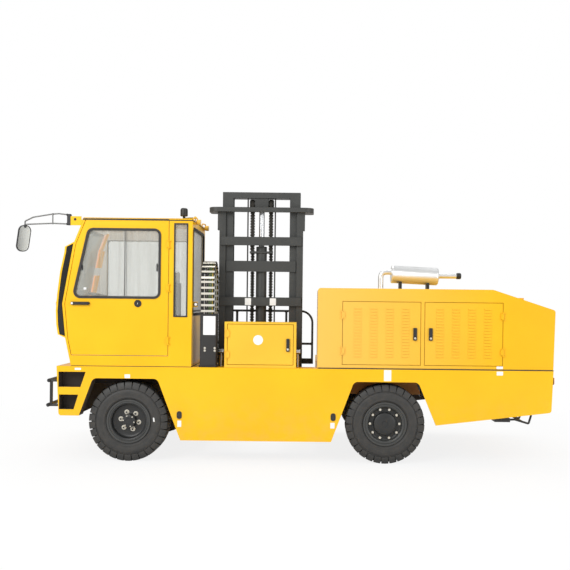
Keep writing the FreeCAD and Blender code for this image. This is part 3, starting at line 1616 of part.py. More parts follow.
def roof_lamps():
    # The rotating beacon on its stem and two work lamps at the cab's rear edge.
    roof = s.cab_roof_z + s.roof_plate
    centre = [s.beacon_x, s.beacon_y]
    dome_low = roof + s.beacon_stem
    pieces = [fuse("beacon", [
        rod("beacon_foot", "z", [roof, roof + 12], centre, s.beacon_radius - 8),
        rod("beacon_stem", "z", [roof, dome_low], centre, 15),
        rod("beacon_dome", "z", [dome_low, dome_low + s.beacon_height], centre, s.beacon_radius),
    ])]
    back = s.cab_rear + s.work_lamp_stand
    height = s.cab_roof_z - 4
    for name, y in (("near", as_size(-930)), ("far", as_size(-250))):
        stand = box(f"{name}_lamp_bracket", [s.cab_rear, back], [y - 16, y + 16],
                    [height - s.work_lamp_radius, height])
        lamp = rod(f"{name}_lamp_head", "x", [back, back + s.work_lamp_length], [y, height],
                   s.work_lamp_radius)
        pieces.append(fuse(f"{name}_work_lamp", [stand, lamp]))
    return compound("roof_lamp_group", pieces)


node("roof_lamps", roof_lamps())


def seat():
    floor = s.chassis_top + s.cab_wall
    middle = (cab_near + s.cab_inner_side) / 2
    across = [middle - 240, middle + 240]
    node("seat_base", fuse("seat_base_solid", [
        box("seat_box", [-1600, -1240], [middle - 190, middle + 190], [floor, 1380]),
        box("seat_back_plate", [-1240, -1215], [middle - 150, middle + 150], [1300, 1900]),
    ]))
    cushion = slab("seat_cushion", "XZ", [(-1690, 1380), (-1700, 1480), (-1240, 1460), (-1240, 1380)],
                   across, {0: 30, 1: 40})
    back = slab("seat_back", "XZ", [(-1240, 1465), (-1330, 1475), (-1290, 2060), (-1240, 2060)],
                across, {1: 30, 2: 30})
    node("seat_cushions", compound("seat_pads", [cushion, back]))


seat()


def steering_column():
    floor = s.chassis_top + s.cab_wall
    middle = (cab_near + s.cab_inner_side) / 2
    column = slab("column_box", "XZ", [(-2150, floor), (-2060, 1700), (-2000, 1700), (-2010, floor)],
                  [middle - 60, middle + 60])
    console = slab("dash_box", "XZ",
                   [(-2262, 1300), (-2262, 1560), (-2180, 1600), (-2090, 1540), (-2110, 1300)],
                   [middle - 330, middle + 330], {2: 20, 3: 20})
    hub = rod("wheel_hub", "z", [1700, 1745], [-2030, middle], 25)
    ring = doc.addObject("Part::Torus", "wheel_ring")
    bind(ring, "Radius1", 190)
    bind(ring, "Radius2", 14)
    bind_base(ring, -2030, middle, 1731)
    spokes = [
        box("wheel_spoke_across", [-2042, -2018], [middle - 188, middle + 188], [1725, 1737]),
        box("wheel_spoke_ahead", [-2218, -2030], [middle - 12, middle + 12], [1725, 1737]),
    ]
    return fuse("column_solid", [column, console, hub, ring] + spokes)


node("steering_column", steering_column())


# engine hood, its doors and what is under it

hood_near = -s.cab_side
hood_outline = [
    (s.hood_front, s.chassis_top),
    (s.hood_front, s.hood_top),
    (s.hood_slope_x, s.hood_top),
    (hood_rear, s.hood_rear_top),
    (s.body_rear, s.chassis_top),
]


def rectangle(low_x, high_x, low_z, high_z):
    return [(low_x, low_z), (low_x, high_z), (high_x, high_z), (high_x, low_z)]


square_sides = [(-1, -1), (-1, 1), (1, 1), (1, -1)]
front_door_span = [s.front_hood_door, s.front_hood_door + s.hood_door_length]
rear_door_span = [s.rear_hood_door, s.rear_hood_door + s.hood_door_length]
front_door_outline = rectangle(*front_door_span, s.hood_door_low, s.hood_door_high)
rear_door_outline = rectangle(*rear_door_span, s.hood_door_low, s.hood_door_high)
hinge_levels = (as_size(1190), as_size(1570))
front_door_hinges = [hinge(f"front_hood_hinge_{number}", front_door_span[0] - s.door_gap / 2,
                           hood_near - s.hinge_barrel, z, 1, hood_near) for number, z in enumerate(hinge_levels)]
rear_door_hinges = [hinge(f"rear_hood_hinge_{number}", rear_door_span[1] + s.door_gap / 2,
                          hood_near - s.hinge_barrel, z, -1, hood_near) for number, z in enumerate(hinge_levels)]


def engine_hood():
    wall = s.hood_wall
    shell = slab("hood_solid", "XZ", hood_outline, [hood_near, s.cab_inner_side], {1: 30, 2: 60, 3: 30})
    hollow = slab("hood_hollow", "XZ", [
        (s.hood_front + wall, s.chassis_top - 5),
        (s.hood_front + wall, s.hood_top - wall),
        (s.hood_slope_x - 8, s.hood_top - wall),
        (hood_rear - wall - 8, s.hood_rear_top - wall + 10),
        (s.body_rear - wall - 8, s.chassis_top - 5),
    ], [hood_near + wall, s.cab_inner_side - wall])
    tools = [hollow]
    tools += doorway("front_hood", front_door_outline, square_sides, hood_near, s.hood_door_panel, wall)
    tools += doorway("rear_hood", rear_door_outline, square_sides, hood_near, s.hood_door_panel, wall)
    tools.append(box("grille_way", [s.body_rear - wall - 60, hood_rear + 5],
                     [hood_near + 140, s.cab_inner_side - 140],
                     [1120, 1540]))
    pieces = [carve("hood_cut", shell, tools)]
    for fixed_side, moving_side in front_door_hinges + rear_door_hinges:
        pieces += fixed_side
    slope = (s.hood_rear_top - s.hood_top) / (hood_rear - s.hood_slope_x)
    cap_x = as_size(2498)
    cap_z = s.hood_top + slope * (cap_x - s.hood_slope_x)
    pieces.append(rod("hood_cap", "z", [cap_z - 20, cap_z + 24], [cap_x, hood_near + 160], 34))
    return fuse("hood_with_hinges", pieces)


node("engine_hood", engine_hood())


def radiator_grille():
    across = [hood_near + 140, s.cab_inner_side - 140]
    x = [s.body_rear - 30, s.body_rear - 6]
    pieces = [
        box("grille_top", x, across, [1520, 1540]),
        box("grille_bottom", x, across, [1120, 1140]),
        box("grille_near", x, [across[0], across[0] + 20], [1120, 1540]),
        box("grille_far", x, [across[1] - 20, across[1]], [1120, 1540]),
    ]
    for number in range(9):
        z = 1165 + number * 41
        pieces.append(box(f"grille_slat_{number}", x, across, [z, z + 12]))
    return fuse("grille_solid", pieces)


node("radiator_grille", radiator_grille())


def louvres(name, first_x):
    # Rows of pressed louvres in four columns, standing off a door's face.
    body = doc.addObject("PartDesign::Body", name)
    base = s.louvre_low
    wedge = [
        (hood_near + 0.5, base),
        (hood_near - s.louvre_depth, base),
        (hood_near, base + s.louvre_height),
        (hood_near + 0.5, base + s.louvre_height),
    ]
    sketch = outline(body, name + "_profile", "YZ", wedge, first_x)
    pad = body.newObject("PartDesign::Pad", name + "_pad")
    pad.Profile = sketch
    bind(pad, "Length", s.louvre_length)
    doc.recompute()
    grid = body.newObject("PartDesign::MultiTransform", name + "_grid")
    grid.Originals = [pad]
    rows = doc.addObject("PartDesign::LinearPattern", name + "_rows")
    rows.Direction = (sketch, ["V_Axis"])
    rows.Occurrences = SIZES["louvre_rows"]
    bind(rows, "Length", s.louvre_pitch * (s.louvre_rows - 1))
    columns = doc.addObject("PartDesign::LinearPattern", name + "_columns")
    columns.Direction = (sketch, ["N_Axis"])
    columns.Occurrences = 4
    bind(columns, "Length", s.louvre_column_pitch * 3)
    grid.Transformations = [rows, columns]
    body.Tip = grid
    doc.recompute()
    return body


def hood_door(label, span, points, hinges, latch):
    face = [hood_near, hood_near + s.hood_door_panel]
    pieces = [slab(label + "_panel", "XZ", points, face)]
    pieces.append(louvres(label + "_louvres", span[0] + s.louvre_inset))
    pieces.append(box(label + "_latch", [latch, latch + 34], [hood_near - 14, hood_near], [1310, 1436]))
    for fixed_side, moving_side in hinges:
        pieces += moving_side
    node(label, fuse(label + "_solid", pieces))


hood_door("hood_door_front", front_door_span, front_door_outline, front_door_hinges, front_door_span[1] - 74)
hood_door("hood_door_rear", rear_door_span, rear_door_outline, rear_door_hinges, rear_door_span[0] + 44)


def engine():
    beams = {
        "near": [s.near_beam, s.near_beam + s.beam_width],
        "far": [s.centre_beam, s.centre_beam + s.beam_width],
    }
    length = [s.engine_front, s.engine_rear]
    pieces = [box("engine_mass", length, [s.engine_near, s.engine_far], [s.engine_low, s.engine_high])]
    for name, across in beams.items():
        for number, x in enumerate((s.engine_front + 60, s.engine_rear - 160)):
            pieces.append(box(f"engine_{name}_foot_{number}", [x, x + 100], across,
                              [s.chassis_top, s.engine_low]))
    return fuse("engine_solid", pieces)


node("engine_block", engine())


# exhaust

def exhaust():
    # The muffler leans down to the rear, and the tail pipe leaves it level.
    front = s.muffler_front
    end = front + s.muffler_length
    low = s.muffler_z - s.muffler_drop
    tail = [s.muffler_y, low + s.tail_pipe_rise]
    inlet = s.muffler_z + s.inlet_rise
    cap = [s.tail_pipe_end - s.tail_cap_length, s.tail_pipe_end]
    pieces = [
        bent_tube("muffler_body", [(front, s.muffler_y, s.muffler_z), (end, s.muffler_y, low)],
                  s.muffler_radius, s.muffler_radius),
        rod("tail_pipe", "x", [end - 15, cap[0]], tail, s.pipe_radius),
        rod("tail_cap", "x", cap, tail, s.tail_cap_radius),
        bent_tube("inlet_pipe", [
            (s.pipe_in_x, s.muffler_y, s.hood_top), (s.pipe_in_x, s.muffler_y, inlet),
            (front + 40, s.muffler_y, inlet),
        ], s.pipe_radius, 60),
        rod("inlet_flange", "z", [s.hood_top, s.hood_top + 10], [s.pipe_in_x, s.muffler_y], 50),
    ]
    for number, x in enumerate((front + 105, end - 120)):
        half = s.muffler_bracket
        height = s.muffler_z - s.muffler_drop * (x - front) / s.muffler_length
        pieces.append(box(f"muffler_leg_{number}", [x - half, x + half], [s.muffler_y - 60, s.muffler_y + 60],
                          [s.hood_top, height]))
        pieces.append(rod(f"muffler_band_{number}", "x", [x - half, x + half], [s.muffler_y, height],
                          s.muffler_radius + 5))
    return fuse("exhaust_solid", pieces)


node("exhaust", exhaust())


# toolbox between the cab and the hood

toolbox_near = -s.cab_side
toolbox_door_span = [s.toolbox_door_front, s.toolbox_door_front + s.toolbox_door_length]
toolbox_outline = rectangle(*toolbox_door_span, s.toolbox_door_low, s.toolbox_door_high)
toolbox_hinges = [hinge(f"toolbox_hinge_{number}", toolbox_door_span[0] - s.door_gap / 2,
                        toolbox_near - s.hinge_barrel, z, 1, toolbox_near)
                  for number, z in enumerate((as_size(1140), as_size(1360)))]


def toolbox():
    wall = s.toolbox_wall
    front_wall = s.hood_door_panel + s.door_gap + 10
    shell = box("toolbox_solid", [s.toolbox_front, s.toolbox_rear], [toolbox_near, s.toolbox_back],
                [s.chassis_top, s.toolbox_top])
    hollow = box("toolbox_hollow", [s.toolbox_front + wall, s.toolbox_rear - wall],
                 [toolbox_near + front_wall, s.toolbox_back - wall],
                 [s.chassis_top + wall, s.toolbox_top - wall])
    tools = [hollow] + doorway("toolbox", toolbox_outline, square_sides, toolbox_near, s.hood_door_panel,
                               front_wall)
    pieces = [carve("toolbox_cut", shell, tools)]
    for fixed_side, moving_side in toolbox_hinges:
        pieces += fixed_side
    node("toolbox", fuse("toolbox_with_hinges", pieces))
    door = [slab("toolbox_door_panel", "XZ", toolbox_outline,
                 [toolbox_near, toolbox_near + s.hood_door_panel])]
    latch = toolbox_door_span[1] - 68
    door.append(box("toolbox_latch", [latch, latch + 30], [toolbox_near - 14, toolbox_near], [1178, 1307]))
    for fixed_side, moving_side in toolbox_hinges:
        door += moving_side
    node("toolbox_door", fuse("toolbox_door_solid", door))


toolbox()


# hose guide chain and its post

node("guide_post", fuse("guide_post_solid", [
    box("guide_post_column", [s.post_front, s.post_rear], [post_near, post_far],
        [s.chassis_top, s.post_top]),
    box("guide_post_foot", [s.post_front - 10, s.post_rear + 10], [post_near - 10, post_far + 10],
        [s.chassis_top, s.chassis_top + 20]),
]))


def hose_guide():
    x = [s.guide_front, s.guide_rear]
    outside = s.guide_radius
    inside = outside - s.guide_link
    centre = [guide_y, s.guide_top - outside]
    ring = rod("guide_loop", "x", x, centre, outside)
    arch = carve("guide_arch", ring, [
        rod("guide_hole", "x", x, centre, inside),
        box("guide_below", x, [guide_y - outside - 1, guide_y + outside + 1],
            [centre[1] - outside - 1, centre[1]]),
    ])
    near_leg = box("guide_near_leg", x, [guide_y - outside, guide_y - inside], [s.post_top, centre[1]])
    far_leg = box("guide_far_leg", x, [guide_y + inside, guide_y + outside], [s.guide_end, centre[1]])
    return fuse("guide_solid", [arch, near_leg, far_leg])


node("hose_guide_chain", hose_guide())


# lamps

def end_lamps():
    pieces = []
    radius = s.head_lamp_radius
    height = s.head_lamp_z
    wall = s.body_front + s.apron_slope * (s.chassis_top - height - radius) / (s.chassis_top - s.apron_bottom)
    for side, name in ((-1, "near"), (1, "far")):
        centre = [side * s.half_width * s.head_lamp_share, height]
        pieces.append(rod(f"head_lamp_{name}", "x", [s.body_front - radius / 2, wall], centre, radius))
    return compound("head_lamp_group", pieces)


node("head_lamps", end_lamps())


def tail_lamps():
    pieces = []
    slope = s.tail_slope / (s.chassis_top - s.tail_high)
    low = s.body_rear - slope * (s.chassis_top - s.tail_lamp_high)
    for side, name in ((-1, "near"), (1, "far")):
        middle = side * (s.half_width - s.tail_lamp_edge)
        across = [middle - s.tail_lamp_half, middle + s.tail_lamp_half]
        pieces.append(box(f"tail_lamp_{name}", [low, s.body_rear + 30], across,
                          [s.tail_lamp_low, s.tail_lamp_high]))
    return compound("tail_lamp_group", pieces)


node("tail_lamps", tail_lamps())


doc.recompute()
for piece in doc.Objects:
    if "Invalid" in piece.State or "Error" in piece.State:
        raise RuntimeError(f"{piece.Name} failed: {piece.State}")
for piece in nodes:
    shape = piece.Shape
    if shape.isNull() or not shape.isValid() or not shape.Solids:
        raise RuntimeError(f"{piece.Label} has no valid solid")

os.makedirs("parts", exist_ok=True)
for piece in nodes:
    piece.Shape.exportStep(os.path.join("parts", piece.Label + ".step"))
    bounds = piece.Shape.BoundBox
    print(f"{piece.Label}: {len(piece.Shape.Solids)} solids, {piece.Shape.Volume / 1e9:.4f} m3,",
          f"x {bounds.XMin:.0f}..{bounds.XMax:.0f}, y {bounds.YMin:.0f}..{bounds.YMax:.0f},",
          f"z {bounds.ZMin:.0f}..{bounds.ZMax:.0f}")
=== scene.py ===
import json
import math
import random

import bmesh
import bpy
from mathutils import Matrix, Vector

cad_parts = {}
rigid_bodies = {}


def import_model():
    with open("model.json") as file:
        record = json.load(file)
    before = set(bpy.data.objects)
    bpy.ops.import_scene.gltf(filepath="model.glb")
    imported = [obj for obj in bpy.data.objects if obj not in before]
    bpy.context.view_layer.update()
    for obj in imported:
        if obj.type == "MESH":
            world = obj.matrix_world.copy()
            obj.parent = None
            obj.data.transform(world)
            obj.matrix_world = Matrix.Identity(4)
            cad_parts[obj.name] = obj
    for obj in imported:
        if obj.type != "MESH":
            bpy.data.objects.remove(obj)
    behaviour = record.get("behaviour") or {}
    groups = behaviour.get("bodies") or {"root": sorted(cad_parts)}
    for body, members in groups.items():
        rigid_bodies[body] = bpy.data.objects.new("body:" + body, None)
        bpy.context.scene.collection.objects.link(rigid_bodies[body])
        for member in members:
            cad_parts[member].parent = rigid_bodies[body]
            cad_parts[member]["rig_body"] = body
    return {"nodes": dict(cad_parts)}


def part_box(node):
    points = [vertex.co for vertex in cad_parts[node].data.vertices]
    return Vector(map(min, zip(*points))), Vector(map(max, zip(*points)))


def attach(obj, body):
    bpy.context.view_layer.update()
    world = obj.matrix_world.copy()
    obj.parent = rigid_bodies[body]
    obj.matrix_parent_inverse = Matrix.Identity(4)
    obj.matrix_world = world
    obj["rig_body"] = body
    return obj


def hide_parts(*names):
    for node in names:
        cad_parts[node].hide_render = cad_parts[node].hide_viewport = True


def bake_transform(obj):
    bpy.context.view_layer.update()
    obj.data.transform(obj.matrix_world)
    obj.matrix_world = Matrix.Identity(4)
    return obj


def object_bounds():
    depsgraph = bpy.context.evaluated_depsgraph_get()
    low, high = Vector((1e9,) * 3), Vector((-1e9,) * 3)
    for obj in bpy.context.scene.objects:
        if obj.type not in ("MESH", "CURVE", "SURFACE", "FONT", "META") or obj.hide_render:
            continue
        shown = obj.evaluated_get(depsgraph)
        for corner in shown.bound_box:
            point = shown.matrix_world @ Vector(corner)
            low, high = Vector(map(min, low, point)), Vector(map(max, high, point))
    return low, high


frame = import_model()
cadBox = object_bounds()
nodes = frame["nodes"]
print("frame loaded")


# ---- shader maths

class Wire:
    # a node's output that can be added, multiplied and so on like a number
    def __init__(self, finish, output):
        self.finish = finish
        self.output = output

    def pick(self, name):
        return Wire(self.finish, self.output.node.outputs[name])

    def maths(self, operation, first, second):
        return self.finish.maths(operation, first, second)

    def __add__(self, other):
        return self.maths("ADD", self, other)

    def __radd__(self, other):
        return self.maths("ADD", other, self)

    def __sub__(self, other):
        return self.maths("SUBTRACT", self, other)

    def __rsub__(self, other):
        return self.maths("SUBTRACT", other, self)

    def __mul__(self, other):
        return self.maths("MULTIPLY", self, other)

    def __rmul__(self, other):
        return self.maths("MULTIPLY", other, self)

    def __truediv__(self, other):
        return self.maths("DIVIDE", self, other)

    def __rtruediv__(self, other):
        return self.maths("DIVIDE", other, self)

    def __pow__(self, other):
        return self.maths("POWER", self, other)

    def clamp(self):
        return self.finish.add("ShaderNodeClamp", {}, {"Value": self})


class Finish:
    # a material, with one method that adds any node
    def __init__(self, name, color, roughness, **constants):
        self.material = bpy.data.materials.new(name)
        self.material.use_nodes = True
        self.tree = self.material.node_tree
        self.shader = self.tree.nodes["Principled BSDF"]
        self.color = (*color, 1)
        self.set("Base Color", self.color)
        self.set("Roughness", roughness)
        for socket, value in constants.items():
            self.set(socket.replace("_", " "), value)

    def set(self, socket, value):
        self.feed(self.shader.inputs[socket], value)

    def feed(self, socket, value):
        if isinstance(value, Wire):
            self.tree.links.new(value.output, socket)
        else:
            socket.default_value = value

    def add(self, kind, settings, sockets):
        made = self.tree.nodes.new(kind)
        for key, value in settings.items():
            if key == "stops":
                for index, (place, tone) in enumerate(value):
                    stops = made.color_ramp.elements
                    stop = stops[index] if index < len(stops) else stops.new(place)
                    stop.position = place
                    stop.color = (tone, tone, tone, 1)
            else:
                setattr(made, key, value)
        for key, value in sockets.items():
            self.feed(made.inputs[key], value)
        return Wire(self, made.outputs[0])

    def maths(self, operation, first, second):
        return self.add("ShaderNodeMath", {"operation": operation}, {0: first, 1: second})

    def place(self):
        return self.add("ShaderNodeTexCoord", {}, {}).pick("Object")

    def stretched(self, scale):
        return self.add("ShaderNodeMapping", {}, {"Vector": self.place(), "Scale": scale})

    def noise(self, scale, detail=3, where=None, rough=0.5):
        sockets = {"Vector": where or self.place(), "Scale": scale, "Detail": detail, "Roughness": rough}
        return self.add("ShaderNodeTexNoise", {}, sockets)

    def ramp(self, value, *stops):
        return self.add("ShaderNodeValToRGB", {"stops": stops}, {"Fac": value})

    def mix(self, factor, first, second):
        return self.add("ShaderNodeMix", {"data_type": "RGBA"}, {0: factor, 6: first, 7: second}).pick(2)

    def bump(self, height, strength, depth):
        sockets = {"Height": height, "Strength": strength, "Distance": depth}
        self.set("Normal", self.add("ShaderNodeBump", {}, sockets))


def shade(color, factor):
    return tuple(min(1, part * factor) for part in color[:3]) + (1,)


def linear(*levels):
    # screen levels 0 to 255 as linear light
    parts = [level / 255 for level in levels]
    return tuple(part / 12.92 if part < 0.04 else ((part + 0.055) / 1.055) ** 2.4 for part in parts)


tones = {
    "yellow": linear(246, 189, 6),
    "hoodYellow": linear(242, 184, 2),
    # pale tone of the painted reflection towards the hood's front
    "hoodPaintedReflection": linear(240, 190, 84),
    "mastGrey": linear(57, 58, 56),
    "rimGrey": linear(62, 63, 62),
    "black": linear(32, 32, 32),
    "rubber": linear(47, 47, 46),
    "silver": linear(240, 241, 241),
    "plate": linear(240, 241, 240),
    "cloth": linear(196, 194, 190),
}


def paint(name, color, roughness=0.36, peel=0.25, paintedReflectionTone=None):
    # sprayed paint: faint clouds of tone, orange peel and a little road dust low down; the optional pale tone
    # is a painted reflection, which the paint turns to towards the front of the hood
    made = Finish(name, color, roughness, Coat_Weight=0.2, Coat_Roughness=0.08, Specular_IOR_Level=0.3)
    clouds = made.ramp(made.noise(1.7, 4), (0.35, 0), (0.7, 1))
    height = made.add("ShaderNodeSeparateXYZ", {}, {0: made.place()}).pick("Z")
    low = made.ramp(height, (0.2, 1), (0.75, 0))
    dust = made.ramp(made.noise(9, 6), (0.4, 0), (0.75, 1))
    tone = made.mix(clouds, shade(color, 0.95), shade(color, 1.03))
    # painted reflection: the tone pales towards low x, the front of the hood
    if paintedReflectionTone:
        along = made.add("ShaderNodeSeparateXYZ", {}, {0: made.place()}).pick("X")
        tone = made.mix(made.ramp(along / 3, (0.11, 1), (0.75, 0)), tone, (*paintedReflectionTone, 1))
    made.set("Base Color", made.mix(low * dust * 0.18, tone, shade((0.42, 0.34, 0.22), 1)))
    made.set("Roughness", roughness + clouds * 0.08 + low * dust * 0.3)
    made.bump(made.noise(260, 2), peel, 0.0006)
    return made.material


def darkPaint(name, color, roughness=0.48):
    # satin paint on heavy steel, scuffed lighter in small patches
    made = Finish(name, color, roughness)
    scuffs = made.ramp(made.noise(6, 8, rough=0.7), (0.52, 0), (0.8, 1))
    grain = made.noise(70, 4)
    made.set("Base Color", made.mix(scuffs * 0.5, (*color, 1), shade(color, 1.8)))
    made.set("Roughness", roughness + grain * 0.15 - 0.07)
    made.bump(made.noise(190, 3), 0.35, 0.0008)
    return made.material


def rubber(name, color, roughness=0.78):
    made = Finish(name, color, roughness)
    dust = made.ramp(made.noise(14, 7, rough=0.65), (0.4, 0), (0.72, 1))
    made.set("Base Color", made.mix(dust * 0.3, (*color, 1), (0.095, 0.083, 0.07, 1)))
    made.set("Roughness", roughness + dust * 0.15)
    made.bump(made.noise(320, 3), 0.4, 0.0006)
    return made.material


def metal(name, color, roughness, streaks=(1, 1, 30), metallic=1.0):
    made = Finish(name, color, roughness, Metallic=metallic)
    lines = made.noise(6, 5, made.stretched(streaks))
    made.set("Base Color", made.mix(lines, shade(color, 0.86), shade(color, 1.05)))
    made.set("Roughness", roughness + lines * 0.2 - 0.06)
    made.bump(lines, 0.12, 0.0005)
    return made.material


def plain(name, color, roughness, grain=300, **constants):
    made = Finish(name, color, roughness, **constants)
    speck = made.noise(grain, 4)
    made.set("Base Color", made.mix(speck, shade(color, 0.9), shade(color, 1.06)))
    made.set("Roughness", roughness + speck * 0.1)
    made.bump(speck, 0.15, 0.0004)
    return made.material


def glass(name, tint, clear=0.8):
    # see-through panes with faint upright smears
    made = Finish(name, tint, 0.04)
    smear = made.ramp(made.noise(1.6, 5, made.stretched((16, 16, 0.6))), (0.35, 0), (0.72, 1))
    seen = made.add("ShaderNodeBsdfTransparent", {}, {"Color": (0.97, 0.974, 0.966, 1)})
    rim = made.add("ShaderNodeFresnel", {}, {"IOR": 1.45})
    cover = 1 - clear + rim * 0.7 + smear * 0.14
    top = Wire(made, made.shader.outputs[0])
    both = made.add("ShaderNodeMixShader", {}, {0: cover.clamp(), 1: seen, 2: top})
    made.feed(made.tree.nodes["Material Output"].inputs["Surface"], both)
    return made.material


def paintedShadeMirror(name, dark, light):
    # a domed mirror's painted reflection: darker towards its outer edge as painted shade, paler inward
    made = Finish(name, light, 0.12, Coat_Weight=0.3)
    along = made.add("ShaderNodeSeparateXYZ", {}, {0: made.place()}).pick("X")
    shadeJitter = made.noise(9, 3)
    share = made.ramp((along + 2.86) * 6 + shadeJitter * 0.25 - 0.12, (0.1, 0), (0.75, 1))
    made.set("Base Color", made.mix(share, (*dark, 1), (*light, 1)))
    return made.material


def treadPlate(name, color):
    # painted plate with raised bars lying two ways, worn bare on their crowns; darker between the bars as painted shade
    # and lighter on them as painted highlight
    made = Finish(name, color, 0.42, Coat_Weight=0.15)
    split = made.add("ShaderNodeSeparateXYZ", {}, {0: made.place()})
    across, along = split.pick("X"), split.pick("Y")
    lines = []
    for way in (1, -1):
        long = (across + along * way) / 0.07
        short = (across - along * way) / 0.07
        near = made.maths("PINGPONG", long + (0.5 if way < 0 else 0), 0.5)
        side = made.maths("PINGPONG", short + (0.5 if way < 0 else 0), 0.5)
        lines.append(made.ramp(near * near * 2 + side * side * 22, (0.1, 1), (0.2, 0)))
    bars = (lines[0] + lines[1]).clamp()
    worn = made.ramp(made.noise(8, 6), (0.45, 0), (0.7, 1))
    # painted shade between the bars and painted highlight on them
    tone = made.mix(bars, shade(color, 0.84), shade(color, 1.06))
    made.set("Base Color", made.mix(bars * worn * 0.35, tone, shade((0.4, 0.36, 0.28), 1)))
    made.set("Roughness", 0.42 + worn * 0.2)
    made.bump(bars, 1.0, 0.004)
    return made.material


finishes = {
    "yellow": paint("yellowPaint", tones["yellow"]),
    "boxYellow": paint("boxPaint", linear(243, 191, 52)),
    # the hood paint pales towards its front as a painted reflection
    "hood": paint("hoodPaint", tones["hoodYellow"], paintedReflectionTone=tones["hoodPaintedReflection"]),
    "mast": darkPaint("mastPaint", tones["mastGrey"]),
    "rim": darkPaint("rimPaint", tones["rimGrey"], 0.42),
    "black": darkPaint("blackPaint", tones["black"], 0.4),
    "tyre": rubber("tyreRubber", tones["rubber"], 0.52),
    # dark paint inside the wheel arches: painted shade
    "arch": darkPaint("archPaintedShade", linear(66, 56, 48), 0.7),
    # dull orange for the rear arch sheets: yellow paint darkened as painted shade
    "archShadeBrown": darkPaint("archShadeBrownMaterial", linear(236, 160, 92), 0.7),
    # far pillar strips: orange paint with a faint emission as painted light
    "pillar": plain("pillarTrimPaintedGlow", linear(250, 182, 40), 0.5, 300, Emission_Color=(1, 0.5, 0.04, 1), Emission_Strength=0.22),
    "post": darkPaint("postPaint", linear(39, 38, 37)),
    "seal": rubber("sealRubber", linear(40, 40, 40), 0.6),
    "silver": metal("aluminisedSteel", tones["silver"], 0.3, metallic=0.86),
    "steel": metal("bareSteel", linear(170, 168, 162), 0.35),
    "chrome": metal("chromedRod", linear(228, 230, 232), 0.2, (40, 40, 0.5)),
    "zinc": metal("zincPlate", linear(226, 222, 210), 0.4),
    "chain": metal("oiledChain", linear(62, 60, 56), 0.5),
    "glass": glass("windowGlass", linear(222, 224, 219), 0.88),
    # mirror pane with painted reflection and shade, darker towards its outer edge
    "mirrorGlassPaintedShade": paintedShadeMirror("mirrorGlassPaintedShade", linear(96, 98, 94), linear(192, 194, 188)),
    "arm": metal("mirrorArm", linear(120, 120, 118), 0.4),
    "lampYellow": paint("lampPaint", linear(236, 186, 66), 0.4),
    "bezel": plain("lampBezel", linear(34, 35, 34), 0.4),
    "lens": plain("clearLens", linear(206, 212, 214), 0.08, 500, Coat_Weight=0.8),
    "deck": treadPlate("deckPlate", tones["yellow"]),
    "mat": rubber("floorMat", linear(44, 44, 43), 0.7),
    "wheelRim": plain("steeringRim", linear(176, 176, 172), 0.3),
    "plate": plain("blankPlate", tones["plate"], 0.4),
    "cloth": plain("seatCloth", tones["cloth"], 0.85, 900),
    "plastic": plain("blackPlastic", linear(38, 38, 39), 0.45),
    "amber": plain("amberLens", linear(240, 150, 30), 0.2),
    "red": plain("redLens", linear(170, 20, 18), 0.2),
    "clear": plain("lampLens", linear(225, 228, 230), 0.12),
    "cast": darkPaint("castIron", linear(52, 50, 47), 0.6),
    "hubBlack": darkPaint("hubPaint", linear(36, 37, 37), 0.4),
    "step": darkPaint("stepGrip", linear(44, 42, 40), 0.75),
    "alloy": metal("anodisedFrame", linear(205, 206, 204), 0.35),
    "mesh": darkPaint("guardMeshPaint", linear(20, 20, 18), 0.5),
    "cable": plain("cableSheath", linear(70, 92, 52), 0.5),
    "brass": metal("brassTube", linear(196, 168, 84), 0.35),
    # near-white cab trim with a faint emission: painted light inside the shaded cab
    "trim": plain("cabTrimPaintedGlow", linear(244, 242, 236), 0.6, 500, Emission_Color=(1, 0.99, 0.96, 1), Emission_Strength=0.2),
}
print("finishes made")

# ---- which finish each frame node takes

nodeFinishes = {
    "yellow": ["chassis_frame", "cab_shell", "cab_door", "cab_roof", "toolbox",
               "toolbox_door", "windscreen_guard"],
    "deck": ["front_deck", "rear_deck"],
    "hood": ["engine_hood", "hood_door_front", "hood_door_rear"],
    "mast": ["outer_mast", "inner_mast", "traverse_frame", "fork_carriage", "load_backrest", "lift_cylinder",
             "guide_post"],
    "black": ["fuel_tank", "hydraulic_tank", "front_guard", "rear_step", "steer_axle", "drive_axle",
              "steering_knuckle_near", "steering_knuckle_far", "forks", "seat_base", "radiator_grille",
              "tilt_cylinder_barrels", "steering_column", "mirror", "hose_guide_chain"],
    "tyre": ["steer_tyre_near", "steer_tyre_far", "drive_tyre_near", "drive_tyre_far"],
    "rim": ["steer_rim_near", "steer_rim_far", "drive_rim_near", "drive_rim_far"],
    "glass": ["door_glass", "cab_glass"],
    "cloth": ["seat_cushions"],
    "cast": ["engine_block"],
    "silver": ["exhaust"],
    "chrome": ["tilt_cylinder_rods"],
    "chain": ["lift_chains"],
    "seal": ["mast_hoses"],
    "amber": ["roof_lamps"],
    "clear": ["head_lamps"],
    "red": ["tail_lamps"],
}

for finishName, members in nodeFinishes.items():
    for member in members:
        slots = nodes[member].data.materials
        slots.clear()
        slots.append(finishes[finishName])

# ---- mesh helpers

def lerp(low, high, share):
    return low + (high - low) * share


def sunk(points, amount):
    # a closed outline moved inward; points run round it either way
    area = sum(a[0] * b[1] - b[0] * a[1] for a, b in zip(points, points[1:] + points[:1]))
    side = 1 if area > 0 else -1
    moved = []
    for index, here in enumerate(points):
        before, after = Vector(points[index - 1]), Vector(points[(index + 1) % len(points)])
        first = (Vector(here) - before).normalized()
        second = (after - Vector(here)).normalized()
        normals = [Vector((-way.y, way.x)) * side for way in (first, second)]
        both = normals[0] + normals[1]
        moved.append(tuple(Vector(here) + both * (2 * amount / both.length_squared)))
    return moved


